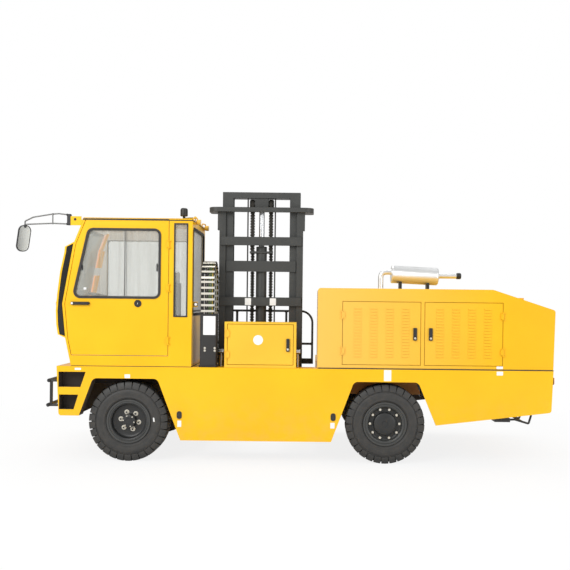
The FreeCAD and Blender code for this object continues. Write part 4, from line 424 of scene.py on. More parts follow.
def rounded(points, radius, steps=5):
    # an outline with its corners as arcs
    out = []
    for index, here in enumerate(points):
        here = Vector(here)
        ways = [Vector(points[index - 1]) - here, Vector(points[(index + 1) % len(points)]) - here]
        half = ways[0].angle(ways[1]) / 2
        reach = min(radius / math.tan(half), 0.49 * min(way.length for way in ways))
        ends = [here + way.normalized() * reach for way in ways]
        middle = here + (ends[0] + ends[1] - 2 * here).normalized() * reach / math.cos(half)
        size = (ends[0] - middle).length
        for step in range(steps + 1):
            at = ends[0].lerp(ends[1], step / steps) - middle
            out.append(tuple(middle + at.normalized() * size))
    return out


def arcPath(points, bend, steps=6):
    # a 3-D line with round bends at its inner points
    line = [Vector(points[0])]
    for before, here, after in zip(points, points[1:], points[2:]):
        here = Vector(here)
        back, on = Vector(before) - here, Vector(after) - here
        half = back.angle(on) / 2
        reach = min(bend / math.tan(half), 0.49 * back.length, 0.49 * on.length)
        start, end = here + back.normalized() * reach, here + on.normalized() * reach
        for step in range(steps + 1):
            share = step / steps
            line.append(start.lerp(here, share).lerp(here.lerp(end, share), share))
    return line + [Vector(points[-1])]


class Shape:
    # the parts of one piece, gathered in one mesh
    def __init__(self):
        self.mesh = bmesh.new()

    def take(self, part, turn=None):
        if turn:
            bmesh.ops.transform(part, matrix=turn, verts=part.verts)
        bmesh.ops.recalc_face_normals(part, faces=part.faces)
        held = bpy.data.meshes.new("part")
        part.to_mesh(held)
        part.free()
        self.mesh.from_mesh(held)
        bpy.data.meshes.remove(held)

    def box(self, low, high, soft=0.0, turn=None, steps=2):
        part = bmesh.new()
        for vert in bmesh.ops.create_cube(part, size=1)["verts"]:
            vert.co = Vector([lerp(low[i], high[i], vert.co[i] + 0.5) for i in range(3)])
        if soft:
            bmesh.ops.bevel(part, geom=part.edges[:], offset=soft, segments=steps, affect="EDGES", clamp_overlap=True)
        self.take(part, turn)

    def spin(self, profile, centre, axis=(0, 1, 0), sides=48, closed=True):
        # turns (along, radius) points about an axis through centre
        part = bmesh.new()
        out = Vector(axis).normalized()
        across = out.orthogonal().normalized()
        up = out.cross(across)
        rings = []
        for along, radius in profile:
            if radius < 1e-6:
                rings.append([part.verts.new(Vector(centre) + out * along)] * sides)
                continue
            ring = []
            for step in range(sides):
                angle = 2 * math.pi * step / sides
                ring.append(part.verts.new(Vector(centre) + out * along
                                           + (across * math.cos(angle) + up * math.sin(angle)) * radius))
            rings.append(ring)
        pairs = list(zip(rings, rings[1:]))
        if closed:
            pairs.append((rings[-1], rings[0]))
        for first, second in pairs:
            for step in range(sides):
                corners = [first[step], first[(step + 1) % sides], second[(step + 1) % sides], second[step]]
                corners = [vert for place, vert in enumerate(corners) if vert not in corners[:place]]
                if len(corners) > 2:
                    part.faces.new(corners)
        self.take(part)

    def rod(self, start, end, radius, sides=20, soft=0.0, far=None):
        # a round bar, its rims rounded by soft
        start, end = Vector(start), Vector(end)
        long = (end - start).length
        far = radius if far is None else far
        profile = [(0, 0), (0, radius - soft), (soft, radius), (long - soft, far), (long, far - soft), (long, 0)]
        if not soft:
            profile = [(0, 0), (0, radius), (long, far), (long, 0)]
        self.spin(profile, start, end - start, sides, closed=False)

    def pipe(self, points, radius, sides=12, bend=0.0, flat=1.0):
        # a tube along points
        line = arcPath(points, bend) if bend else [Vector(point) for point in points]
        part = bmesh.new()
        rings = []
        side = None
        for index, here in enumerate(line):
            way = (line[min(index + 1, len(line) - 1)] - line[max(index - 1, 0)]).normalized()
            side = way.orthogonal().normalized() if side is None else (side - way * side.dot(way)).normalized()
            over = way.cross(side)
            rings.append([part.verts.new(here + (side * math.cos(2 * math.pi * step / sides)
                                                 + over * flat * math.sin(2 * math.pi * step / sides)) * radius)
                          for step in range(sides)])
        for first, second in zip(rings, rings[1:]):
            for step in range(sides):
                part.faces.new([first[step], first[(step + 1) % sides], second[(step + 1) % sides], second[step]])
        part.faces.new(rings[0])
        part.faces.new(rings[-1])
        self.take(part)

    def plate(self, outline, plane, span, soft=0.0, hole=None, turn=None):
        # an outline made thick between span; plane names its two axes, such as "xz"
        axes = ["xyz".index(letter) for letter in plane]
        third = 3 - sum(axes)

        def at(point, level):
            place = [0, 0, 0]
            place[axes[0]], place[axes[1]], place[third] = point[0], point[1], level
            return Vector(place)

        part = bmesh.new()
        loops = [[part.verts.new(at(point, level)) for point in line]
                 for line in ([outline, hole] if hole else [outline]) for level in span]
        count = len(outline)
        if hole:
            for low, high in ((0, 2), (1, 3)):
                for index in range(count):
                    after = (index + 1) % count
                    part.faces.new([loops[low][index], loops[low][after], loops[high][after], loops[high][index]])
        else:
            part.faces.new(loops[0])
            part.faces.new(loops[1])
        for base in range(0, len(loops), 2):
            for index in range(count):
                after = (index + 1) % count
                part.faces.new([loops[base][index], loops[base][after], loops[base + 1][after], loops[base + 1][index]])
        if soft:
            rims = [edge for edge in part.edges if len(edge.link_faces) == 2
                    and edge.calc_face_angle() > 0.9]
            bmesh.ops.bevel(part, geom=rims, offset=soft, segments=2, affect="EDGES", clamp_overlap=True)
        self.take(part, turn)

    def done(self, name, finish, body, replaces=(), angle=38):
        data = bpy.data.meshes.new(name)
        self.mesh.to_mesh(data)
        self.mesh.free()
        made = bpy.data.objects.new(name, data)
        bpy.context.scene.collection.objects.link(made)
        return dress(made, finish, body, replaces, angle)


def dress(made, finish, body, replaces=(), angle=38):
    made.data.materials.clear()
    made.data.materials.append(finishes[finish])
    made.data.polygons.foreach_set("use_smooth", [True] * len(made.data.polygons))
    made.data.set_sharp_from_angle(angle=math.radians(angle))
    if body:
        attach(made, body)
    if replaces:
        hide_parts(*replaces)
    return made


def bodyOf(node):
    return nodes[node]["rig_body"]


def softened(node, finish, width=0.003, sharp=32):
    # the node's own form with its hard edges rounded
    data = nodes[node].data.copy()
    data.name = node + "Soft"
    mesh = bmesh.new()
    mesh.from_mesh(data)
    bmesh.ops.remove_doubles(mesh, verts=mesh.verts, dist=0.00005)
    bmesh.ops.dissolve_limit(mesh, angle_limit=math.radians(1.5), verts=mesh.verts, edges=mesh.edges)
    hard = [edge for edge in mesh.edges if edge.is_manifold and edge.calc_face_angle(0) > math.radians(sharp)]
    bmesh.ops.bevel(mesh, geom=hard, offset=width, segments=2, affect="EDGES", clamp_overlap=True)
    mesh.to_mesh(data)
    mesh.free()
    made = bpy.data.objects.new(node + "Soft", data)
    bpy.context.scene.collection.objects.link(made)
    normals = made.modifiers.new("normals", "WEIGHTED_NORMAL")
    normals.keep_sharp = True
    return dress(made, finish, bodyOf(node), [node], 60)


def paintWhere(made, finish, wanted):
    # gives the faces whose middle passes the test another finish
    made.data.materials.append(finishes[finish])
    index = len(made.data.materials) - 1
    for face in made.data.polygons:
        if wanted(face.center, face.normal):
            face.material_index = index


def within(low, high):
    return lambda at, way: all(low[i] <= at[i] <= high[i] for i in range(3))


# ---- wheels

tyreLook = {"lugs": 30, "share": 0.87, "lugFoot": 0.35, "grooveDepth": 0.028, "sides": 96}


def tyre(node):
    low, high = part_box(node)
    centre, half, radius = (low + high) / 2, (high.y - low.y) / 2, (high.z - low.z) / 2
    floor = radius - tyreLook["grooveDepth"]
    bead = 0.1923
    side = [(0.0877, bead), (0.0877, 0.2323), (0.094, 0.243), (0.1, 0.2385), (0.1045, 0.2445), (0.1085, 0.2475),
            (0.1135, 0.256), (half - 0.0055, 0.27), (half - 0.0015, 0.287), (half, 0.302), (half - 0.0005, 0.316),
            (half - 0.0035, 0.332), (half - 0.006, 0.3365), (half - 0.0025, 0.3385), (half - 0.0025, 0.3425),
            (half - 0.007, 0.3445), (half - 0.009, 0.352), (half - 0.013, 0.372), (half - 0.022, floor - 0.006),
            (half - 0.034, floor)]
    shape = Shape()
    shape.spin(side + [(-along, out) for along, out in reversed(side)], centre, sides=tyreLook["sides"])
    step = 2 * math.pi / tyreLook["lugs"]
    for way in (-1, 1):
        for lug in range(tyreLook["lugs"]):
            start = (lug - tyreLook["share"] / 2) * step
            shape.take(lugBlock(centre, way, start, step * tyreLook["share"], half, radius, floor))
    shape.done(node + "Tread", "tyre", bodyOf(node), [node], 30)


def lugBlock(centre, way, start, width, half, radius, floor):
    # one shoulder lug: its section along the axle, swept round and slanting towards the middle
    section = [(0.004, floor - 0.004), (0.004, radius - 0.003), (0.01, radius), (half - 0.03, radius),
               (half - 0.018, radius - 0.006), (half - 0.006, radius - 0.03), (half - 0.0005, 0.362),
               (half - 0.0012, 0.347), (half - 0.03, 0.347)]
    part = bmesh.new()
    rings = []
    for share in (0, 0.06, 0.5, 0.94, 1):
        ring = []
        for along, out in section:
            pull = 0.0025 if share in (0, 1) and out > floor else 0
            slant = 0.035 * (1 - along / half) * way
            angle = start + width * share + slant
            out = out - pull
            ring.append(part.verts.new(centre + Vector((out * math.sin(angle), way * along, out * math.cos(angle)))))
        rings.append(ring)
    count = len(section)
    for first, second in zip(rings, rings[1:]):
        for index in range(count):
            after = (index + 1) % count
            part.faces.new([first[index], first[after], second[after], second[index]])
    part.faces.new(rings[0])
    part.faces.new(rings[-1])
    return part


rimLook = {
    "steer": {"disc": 0.02, "nuts": 6, "circle": 0.096, "nut": 0.0165, "washer": 0.026, "cap": 0.072, "reach": 0.084,
              "bolts": 6, "boltCircle": 0.0575, "bolt": 0.0085, "dark": 0.1965, "turn": -10},
    "drive": {"disc": 0.04, "nuts": 10, "circle": 0.156, "nut": 0.0155, "washer": 0.0, "cap": 0.121, "reach": 0.092,
              "bolts": 10, "boltCircle": 0.112, "bolt": 0.006, "dark": 0.166, "turn": 0},
}


def rim(axle, where):
    look = rimLook[axle]
    node = f"{axle}_rim_{where}"
    low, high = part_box(node)
    centre = (low + high) / 2
    tyreLow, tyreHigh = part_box(f"{axle}_tyre_{where}")
    centre.y = (tyreLow.y + tyreHigh.y) / 2
    out = -1 if where == "near" else 1
    disc, cap, reach = look["disc"], look["cap"], look["reach"]
    lip = [(-0.1, 0.18), (-0.1, 0.2315), (-0.0885, 0.2315), (-0.0885, 0.1915), (0.0885, 0.1915), (0.0885, 0.2315),
           (0.094, 0.2325), (0.0995, 0.2305), (0.1, 0.226), (0.0985, 0.214), (0.093, 0.209), (0.0975, 0.203),
           (0.0975, 0.197), (0.092, 0.192), (0.09, 0.184), (0.078, 0.179)]
    dish = [(disc + 0.012, 0.176), (disc + 0.004, 0.168), (disc + 0.002, 0.158), (disc, 0.152), (disc, cap + 0.012),
            (disc + 0.003, cap + 0.004), (disc + 0.012, cap + 0.001), (reach - 0.014, cap - 0.003),
            (reach - 0.004, cap - 0.006), (reach, cap - 0.012), (reach, 0.034), (reach - 0.004, 0.03), (reach - 0.004, 0)]
    back = [(0.071, 0), (0.071, 0.0353), (-0.075, 0.0353), (-0.075, 0.08), (disc - 0.014, 0.08), (disc - 0.014, 0.18)]
    if axle == "drive":
        lip[-1] = (0.074, 0.179)
    shape = Shape()
    profile = [(along * out, radius) for along, radius in lip + dish]
    rear = [(along * out, radius) for along, radius in back]
    shape.spin(profile + rear, centre, sides=72)
    if axle == "drive":
        for number in range(look["bolts"]):
            angle = 2 * math.pi * (number + 0.5) / look["bolts"]
            at = centre + Vector((0.115 * math.cos(angle), 0, 0.115 * math.sin(angle)))
            shape.rod(at + Vector((0, out * disc, 0)), at + Vector((0, out * (disc + 0.03), 0)), 0.0125, 16, 0.003)
    made = shape.done(node + "Dish", "rim", bodyOf(node), [node], 35)
    paintWhere(made, "hubBlack", lambda at, way: math.hypot(at.x - centre.x, at.z - centre.z) < look["dark"]
               and (at.y - centre.y) * out > disc - 0.003)
    fasteners, studs = Shape(), Shape()
    for count, circle, size, face, thick in (
            (look["nuts"], look["circle"], look["nut"], disc, 0.0235),
            (look["bolts"], look["boltCircle"], look["bolt"], reach - 0.001 if axle == "steer" else disc + 0.029, 0.006)):
        for number in range(count):
            angle = 2 * math.pi * (number + (0.5 if circle < 0.12 and axle == "drive" else 0)) / count
            angle -= math.radians(look["turn"]) * out
            at = centre + Vector((circle * math.cos(angle), out * face, circle * math.sin(angle)))
            fasteners.rod(at, at + Vector((0, out * thick, 0)), size, 6, 0.002)
            if look["washer"] and size > 0.01:
                fasteners.rod(at, at + Vector((0, out * 0.004, 0)), look["washer"], 24, 0.001)
                studs.rod(at + Vector((0, out * thick, 0)), at + Vector((0, out * (thick + 0.004), 0)), 0.0095, 16, 0.001)
    if look["washer"]:
        studs.done(f"{axle}Studs{where.title()}", "hubBlack", bodyOf(node))
    fasteners.done(f"{axle}Nuts{where.title()}", "zinc", bodyOf(node))


def tyreMark():
    # the pale balance mark on the front near sidewall
    low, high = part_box("steer_tyre_near")
    centre = (low + high) / 2
    shape = Shape()
    turn = Matrix.Translation(centre + Vector((0.272, 0, 0.022))) @ Matrix.Rotation(math.radians(-8), 4, "Y")
    shape.box((-0.0075, low.y - centre.y + 0.0005, -0.022), (0.0075, low.y - centre.y + 0.009, 0.022), 0.002, turn)
    shape.done("tyreMark", "plate", bodyOf("steer_tyre_near"))


for axle in ("steer", "drive"):
    for where in ("near", "far"):
        tyre(f"{axle}_tyre_{where}")
        rim(axle, where)
tyreMark()
print("wheels made")

# ---- bodywork that keeps the frame's own form, with softer edges

softWidths = {
    "chassis_frame": ("yellow", 0.004), "cab_shell": ("yellow", 0.004), "cab_door": ("yellow", 0.003),
    "cab_roof": ("yellow", 0.005), "toolbox": ("boxYellow", 0.003), "toolbox_door": ("boxYellow", 0.002),
    "engine_hood": ("hood", 0.005), "hood_door_front": ("hood", 0.0015), "hood_door_rear": ("hood", 0.0015),
    "outer_mast": ("mast", 0.004), "inner_mast": ("mast", 0.003), "load_backrest": ("mast", 0.004),
    "fork_carriage": ("mast", 0.003), "traverse_frame": ("mast", 0.003), "guide_post": ("post", 0.004),
    "forks": ("black", 0.004), "fuel_tank": ("black", 0.012), "hydraulic_tank": ("black", 0.012),
    "front_deck": ("deck", 0.001), "rear_deck": ("deck", 0.001), "lift_cylinder": ("mast", 0.002),
    "steer_axle": ("black", 0.003), "drive_axle": ("black", 0.003), "steering_knuckle_near": ("black", 0.003),
    "steering_knuckle_far": ("black", 0.003), "tilt_cylinder_barrels": ("black", 0.0015),
    "tilt_cylinder_rods": ("chrome", 0.0008), "mast_hoses": ("seal", 0.0005), "rear_step": ("black", 0.0015),
    "windscreen_guard": ("yellow", 0.0015), "seat_base": ("plastic", 0.006), "engine_block": ("cast", 0.008),
    "radiator_grille": ("black", 0.0008),
}
soft = {}
for name, (finish, width) in softWidths.items():
    soft[name] = softened(name, finish, width)
    print(name, len(soft[name].data.polygons), "faces")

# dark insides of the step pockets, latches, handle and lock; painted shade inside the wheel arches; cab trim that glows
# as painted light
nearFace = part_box("cab_shell")[0].y
chassisLow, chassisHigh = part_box("chassis_frame")
paintWhere(soft["chassis_frame"], "step", within((chassisLow.x + 0.02, -1.0985, 0.544), (-2.09, -0.945, 0.941)))
# faces inside the wheel arches take dark paint as painted shade
for wheelX in (-1.719, 1.044):
    for side in (-1, 1):
        paintWhere(soft["chassis_frame"], "arch", lambda at, way: abs(at.x - wheelX) < 0.78 and at.z < 0.997
                   and 0.2 < at.y * side < 1.0985)
paintWhere(soft["chassis_frame"], "arch", lambda at, way: min(abs(at.x + 2.21), abs(at.x + 1.551)) < 0.004
           and at.z < 0.99)
paintWhere(soft["inner_mast"], "chrome", lambda at, way: math.hypot(at.x + 0.306, at.y + 0.54) < 0.0325 and at.z < 2.753)
paintWhere(soft["cab_door"], "bezel", lambda at, way: at.y < -1.0915 and (math.hypot(at.x + 1.568, at.z - 1.664) < 0.045
           or (abs(at.x + 2.172) < 0.1 and abs(at.z - 1.66) < 0.02)))
paintWhere(soft["cab_shell"], "mat", lambda at, way: -2.32 < at.x < -1.035 and -1.055 < at.y < -0.125
           and way.z > 0.9 and at.z < 1.04)
# the cab's inner walls take the trim, which glows faintly as painted light
paintWhere(soft["cab_shell"], "trim", lambda at, way: -2.32 < at.x < -1.035 and -1.055 < at.y < -0.122 and at.z > 1.045
           and not (way.x < -0.5 and at.x < -2.2))

# ---- cab: seals, panes, handle, lock, trim and fittings

doorLow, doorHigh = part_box("cab_door")
paneLow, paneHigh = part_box("door_glass")
roofLow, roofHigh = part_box("cab_roof")
cabLow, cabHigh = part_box("cab_shell")
faceY = -1.09

cabLook = {
    "sealWide": 0.026, "sealProud": 0.007, "sealRound": 0.05,
    "pane": [(-1.35, 1.734), (-1.35, 2.435), (-2.086, 2.435), (-2.24, 1.734)],
    "quarter": [(-1.19, 1.53), (-1.05, 1.53), (-1.05, 2.51), (-1.19, 2.51)],
    "sliderX": -1.712, "handle": (-2.172, 1.66), "lock": (-1.568, 1.664),
}


def seal(shape, outline, wide, plane, span, corner, inner=0.006):
    # a rubber profile lying over the edge of an opening
    outside = rounded(sunk(outline, -wide + inner), corner + wide - inner)
    inside = rounded(sunk(outline, inner), max(corner - inner, 0.004))
    shape.plate(outside, plane, span, 0.0022, inside)


def doorFittings():
    rubberSeal = Shape()
    wide = cabLook["sealWide"]
    seal(rubberSeal, cabLook["pane"], wide, "xz", (faceY - cabLook["sealProud"], faceY + 0.0115), cabLook["sealRound"])
    rubberSeal.done("doorSeal", "seal", "cab_door")
    slider = Shape()
    x = cabLook["sliderX"]
    for low, high in (((x - 0.0045, 1.742), (x + 0.0045, 2.427)), ((x + 0.016, 1.742), (x + 0.019, 2.427))):
        slider.box((low[0], faceY + 0.0045, low[1]), (high[0], faceY + 0.0118, high[1]), 0.0015)
    slider.done("sliderFrame", "arm", "cab_door")
    catches = Shape()
    for place, height in (((-2.158, 2.037), 0.06), ((-1.37, 2.045), 0.085)):
        catches.box((place[0] - 0.0075, faceY + 0.002, place[1] - height / 2),
                    (place[0] + 0.0075, faceY + 0.0112, place[1] + height / 2), 0.003)
    catches.done("sliderCatches", "plastic", "cab_door")
    hardware = Shape()
    x, z = cabLook["handle"]
    hardware.pipe([(x - 0.0925, faceY - 0.001, z), (x - 0.0925, faceY - 0.0235, z), (x + 0.0925, faceY - 0.0235, z),
                   (x + 0.0925, faceY - 0.001, z)], 0.0098, 12, 0.012)
    hardware.plate(rounded([(x - 0.0945, z - 0.0165), (x + 0.0945, z - 0.009), (x + 0.0945, z + 0.012), (x - 0.0945, z + 0.0165)],
                           0.008), "xz", (faceY - 0.0245, faceY - 0.0115), 0.003)
    x, z = cabLook["lock"]
    hardware.spin([(0.001, 0), (0.001, 0.0385), (-0.006, 0.0385), (-0.0095, 0.035), (-0.0095, 0.023), (-0.0065, 0.02),
                   (-0.0065, 0.0125), (-0.011, 0.011), (-0.011, 0)], (x, faceY, z), sides=36, closed=False)
    hardware.done("doorHardware", "bezel", "cab_door")
    key = Shape()
    x, z = cabLook["lock"]
    key.box((x - 0.0025, faceY - 0.0118, z - 0.007), (x + 0.0025, faceY - 0.0105, z + 0.007), 0.0005)
    x, z = cabLook["handle"]
    key.rod((x - 0.081, faceY - 0.0365, z), (x - 0.081, faceY - 0.03, z), 0.0115, 20, 0.0015)
    key.plate([(-2.143, 1.806), (-2.115, 1.806), (-2.115, 1.828), (-2.143, 1.828)], "xz", (-1.0788, -1.0778), 0)
    key.done("doorKeys", "plate", "cab_door")


def cabSeals():
    shape = Shape()
    border = Shape()
    seal(border, cabLook["quarter"], 0.014, "xz", (faceY - 0.004, faceY + 0.0115), 0.001, 0.01)
    border.done("quarterBorder", "bezel", "chassis")
    back = [(cabLow.y + 0.09, 1.56), (cabLow.y + 0.09, 2.46), (-0.18, 2.46), (-0.18, 1.56)]
    seal(shape, back, 0.028, "yz", (-1.0115, -0.994), 0.03, 0.008)
    side = [(-2.14, 1.33), (-2.14, 2.4), (-1.1, 2.4), (-1.1, 1.33)]
    seal(shape, side, 0.028, "xz", (-0.1015, -0.084), 0.04, 0.008)
    roof = [(-2.16, faceY - 0.004), (-2.16, -0.086), (-0.996, -0.086), (-0.996, faceY - 0.004)]
    shape.plate(rounded(roof, 0.01), "xy", (2.5395, 2.5475), 0.002, rounded(sunk(roof, 0.02), 0.008))
    shape.done("cabSeals", "seal", "chassis")


def frontX(z, inward=0.0):
    # the cab's front face at a height
    line = [(2.545, -2.15), (2.284, -2.255), (1.653, -2.365), (1.287, -2.328), (1.0, -2.266)]
    for (high, far), (low, near) in zip(line, line[1:]):
        if z >= low:
            return lerp(near, far, (z - low) / (high - low)) + inward
    return line[-1][1] + inward


def screenFittings():
    # black border round the windscreen and its wiper
    border = Shape()
    for y in (-1.04, -0.152):
        levels = [1.335, 1.653, 2.284, 2.462]
        outline = [(frontX(z, -0.004), z) for z in levels] + [(frontX(z, 0.011), z) for z in reversed(levels)]
        border.plate(outline, "xz", (y, y + 0.03), 0.001)
    for z in (1.335, 2.43):
        outline = [(frontX(z, -0.004), z), (frontX(z + 0.03, -0.004), z + 0.03), (frontX(z + 0.03, 0.011), z + 0.03),
                   (frontX(z, 0.011), z)]
        border.plate(outline, "xz", (-1.04, -0.122), 0.001)
    border.done("screenBorder", "seal", "chassis")
    wiper = Shape()
    pivot = Vector((frontX(1.31, -0.02), -0.59, 1.31))
    wiper.rod(pivot + Vector((0.025, 0, 0)), pivot - Vector((0.008, 0, 0)), 0.018, 20, 0.003)
    tip = Vector((frontX(1.95, -0.024), -0.4, 1.95))
    wiper.pipe([pivot, Vector((frontX(1.653, -0.026), -0.49, 1.653)), tip], 0.006, 10)
    blade = [Vector((frontX(z, -0.013), y, z)) for y, z in ((-0.3, 1.64), (-0.4, 1.95), (-0.5, 2.26))]
    wiper.pipe(blade, 0.008, 8)
    wiper.done("wiper", "plastic", "chassis")


doorFittings()
cabSeals()
screenFittings()

guardLook = {"cell": 0.022, "strand": 0.0056}


def guardReach(z):
    line = [(2.31, 0), (2.255, 0.085), (2.2, 0.08), (1.99, 0.087), (1.756, 0.074), (1.58, 0.076), (1.433, 0.084),
            (1.331, 0.078), (1.294, 0)]
    for (high, far), (low, near) in zip(line, line[1:]):
        if low <= z <= high:
            return lerp(near, far, (z - low) / (high - low))
    return 0


def guardMesh():
    # expanded metal closing both sides of the windscreen guard, with a solid black sheet behind it that darkens the
    # openings as painted shade and also stands for the guard's side sheet
    shape = Shape()
    for y in (-1.0745, -0.1055):
        for slope in (-1, 1):
            for number in range(-6, 52):
                base = 1.29 + number * guardLook["cell"]
                run = []
                for step in range(13):
                    share = step / 12 * 0.1
                    z = base + share * 1.15 if slope > 0 else base + (0.1 - share) * 1.15
                    if 1.3 < z < 2.3 and 0.004 < share < guardReach(z) - 0.006:
                        run.append(Vector((frontX(z, -share), y, z)))
                if len(run) > 1:
                    shape.pipe(run, guardLook["strand"], 5)
    # black sheet behind the strands: painted shade in the openings, also standing for a side sheet
    shadeSheet = Shape()
    levels = [1.305, 1.331, 1.433, 1.58, 1.756, 1.99, 2.2, 2.255, 2.298]
    for y in (-1.0705, -0.1095):
        outline = [(frontX(z, -0.004), z) for z in levels]
        outline += [(frontX(z, 0.003 - max(guardReach(z), 0.008)), z) for z in reversed(levels)]
        shadeSheet.plate(outline, "xz", (y - 0.0006, y + 0.0006))
    shadeSheet.done("guardShadeSheet", "mesh", "chassis")
    shape.done("guardMesh", "mesh", "chassis")


guardMesh()
print("cab fitted")

# ---- mirror, lamps and the tube guard ahead of the cab

mirrorLook = {
    "centre": (-2.787, -1.07, 2.338), "yaw": 44, "half": 0.068, "high": 0.1405, "lean": 0.019, "round": 0.064,
    "armY": -1.07, "strutX": -2.478, "stemX": -2.77, "top": 2.4795,
}


def mirror():
    turn = Matrix.Translation(mirrorLook["centre"]) @ Matrix.Rotation(math.radians(mirrorLook["yaw"]), 4, "Z")
    half, high, lean = mirrorLook["half"], mirrorLook["high"], mirrorLook["lean"]
    outline = rounded([(-half - lean, -high), (-half + lean, high), (half + lean, high), (half - lean, -high)],
                      mirrorLook["round"], 10)
    housing = Shape()
    housing.plate(outline, "xz", (-0.0125, 0.004), 0.0035, turn=turn)
    for inset, low, top in ((0.008, 0.003, 0.0085), (0.02, 0.007, 0.0125), (0.036, 0.011, 0.016)):
        housing.plate(sunk(outline, inset), "xz", (low, top), 0.0035, turn=turn)
    housing.plate(outline, "xz", (-0.0168, -0.0115), 0.002, sunk(outline, 0.008), turn)
    housing.box((mirrorLook["stemX"] - 0.014, -1.083, 2.45), (mirrorLook["stemX"] + 0.014, -1.057, 2.482), 0.004)
    housing.done("mirrorHousing", "plastic", "chassis", ["mirror"])
    pane = Shape()
    pane.plate(sunk(outline, 0.0085), "xz", (-0.0155, -0.012), 0.0012, turn=turn)
    pane.plate(sunk(outline, 0.03), "xz", (-0.0163, -0.015), 0.0008, turn=turn)
    pane.done("mirrorPane", "mirrorGlassPaintedShade", "chassis", ["mirror"])
    arms = Shape()
    y, strut, stem, top = (mirrorLook[key] for key in ("armY", "strutX", "stemX", "top"))
    arms.pipe([(-2.316, y, top + 0.112), (strut + 0.065, y, top + 0.123), (strut, y, top + 0.118),
               (stem + 0.087, y, top + 0.083), (stem, y, top + 0.04), (stem, y, top - 0.02)], 0.0072, 12, 0.014)
    arms.pipe([(-2.316, y, top + 0.015), (strut, y, top + 0.02), (stem, y, top + 0.006)], 0.0072, 12, 0.014)
    arms.rod((strut, y, top + 0.02), (strut, y, top + 0.118), 0.006, 12)
    for x, z in ((strut, top + 0.02), (strut, top + 0.118)):
        arms.box((x - 0.009, y - 0.0095, z - 0.0095), (x + 0.009, y + 0.0095, z + 0.0095), 0.003)
    arms.done("mirrorArms", "arm", "chassis", ["mirror"])
    block = Shape()
    block.box((-2.326, -1.085, 2.481), (-2.281, -1.055, 2.6), 0.006)
    for z in (2.4945, 2.5915):
        block.rod((-2.333, -1.07, z), (-2.322, -1.07, z), 0.0125, 20, 0.002)
    block.done("mirrorBlock", "plastic", "chassis", ["mirror"])
    plate = Shape()
    plate.plate([(-2.286, 2.481), (-2.286, 2.576), (-2.175, 2.576), (-2.175, 2.545), (-2.154, 2.535), (-2.1757, 2.481)],
                "xz", (-1.085, -1.073), 0.002)
    plate.done("mirrorPlate", "yellow", "chassis", ["mirror"])
    bolt = Shape()
    bolt.rod((-2.239, -1.0845, 2.544), (-2.239, -1.0935, 2.544), 0.011, 6, 0.0015)
    bolt.rod((-2.239, -1.0845, 2.544), (-2.239, -1.0865, 2.544), 0.0145, 20, 0.0005)
    bolt.done("mirrorBolt", "bezel", "chassis", ["mirror"])


lampLook = {"beacon": (-1.153, -0.7), "roof": 2.565, "work": (-0.93, -0.25), "workX": -0.986, "workZ": 2.541}


def roofLamps():
    x, y = lampLook["beacon"]
    base = lampLook["roof"]
    beacon = Shape()
    beacon.spin([(0, 0), (0, 0.0325), (0.009, 0.0325), (0.0115, 0.03), (0.0115, 0.0145), (0.064, 0.0145), (0.064, 0.036),
                 (0.068, 0.0405), (0.074, 0.0408), (0.128, 0.0408), (0.141, 0.0385), (0.149, 0.033), (0.1535, 0.022),
                 (0.1545, 0)], (x, y, base), (0, 0, 1), 36, closed=False)
    beacon.done("beacon", "bezel", "chassis", ["roof_lamps"])
    arm = Shape()
    arm.pipe([(x + 0.012, y, 2.607), (-1.06, y - 0.05, 2.607), (-1.018, y - 0.09, 2.6), (-1.012, y - 0.1, 2.572)],
             0.0065, 10, 0.02)
    arm.spin([(-0.011, 0), (-0.011, 0.012), (-0.006, 0.0145), (0.006, 0.0145), (0.011, 0.012), (0.011, 0)],
             (-1.014, y - 0.097, 2.604), (0, 1, 0), 20, closed=False)
    arm.done("lampArm", "brass", "chassis", ["roof_lamps"])
    holders, bowls, lenses = Shape(), Shape(), Shape()
    back, z = lampLook["workX"], lampLook["workZ"]
    for y in lampLook["work"]:
        holders.box((-1.0, y - 0.015, z - 0.0295), (back + 0.002, y + 0.015, z - 0.002), 0.003)
        holders.pipe([(-1.012, y - 0.02, 2.5655), (-1.012, y - 0.02, 2.59), (-0.975, y - 0.02, 2.585), (back + 0.014, y, z + 0.02)],
                     0.007, 10, 0.012)
        bowls.spin([(0, 0), (0, 0.014), (0.006, 0.022), (0.016, 0.028), (0.026, 0.0298), (0.046, 0.0298), (0.0495, 0.0285),
                    (0.0495, 0.0262), (0.044, 0.0255), (0.044, 0)], (back, y, z), (1, 0, 0), 32, closed=False)
        lenses.spin([(0.0445, 0), (0.0445, 0.0252), (0.047, 0.0252), (0.0485, 0.018), (0.0495, 0)], (back, y, z), (1, 0, 0), 32,
                    closed=False)
    holders.done("workLampHolders", "lampYellow", "chassis", ["roof_lamps"])
    bowls.done("workLampBowls", "lampYellow", "chassis", ["roof_lamps"])
    lenses.done("workLampLenses", "lens", "chassis", ["roof_lamps"])


def headLamps():
    rings, lenses = Shape(), Shape()
    for y in (-0.82, 0.82):
        rings.spin([(0.0, 0.03), (0.0, 0.0745), (0.032, 0.0745), (0.0405, 0.072), (0.042, 0.068), (0.0395, 0.0655), (0.03, 0.0645),
                    (0.008, 0.04)], (-2.4085, y, 0.82), (-1, 0, 0), 48)
        lenses.spin([(0.031, 0.0645), (0.036, 0.055), (0.04, 0.035), (0.0415, 0), (0.029, 0), (0.029, 0.0645)],
                    (-2.4085, y, 0.82), (-1, 0, 0), 48, closed=False)
    rings.done("headLampRings", "bezel", "chassis", ["head_lamps"])
    lenses.done("headLampLenses", "lens", "chassis", ["head_lamps"])


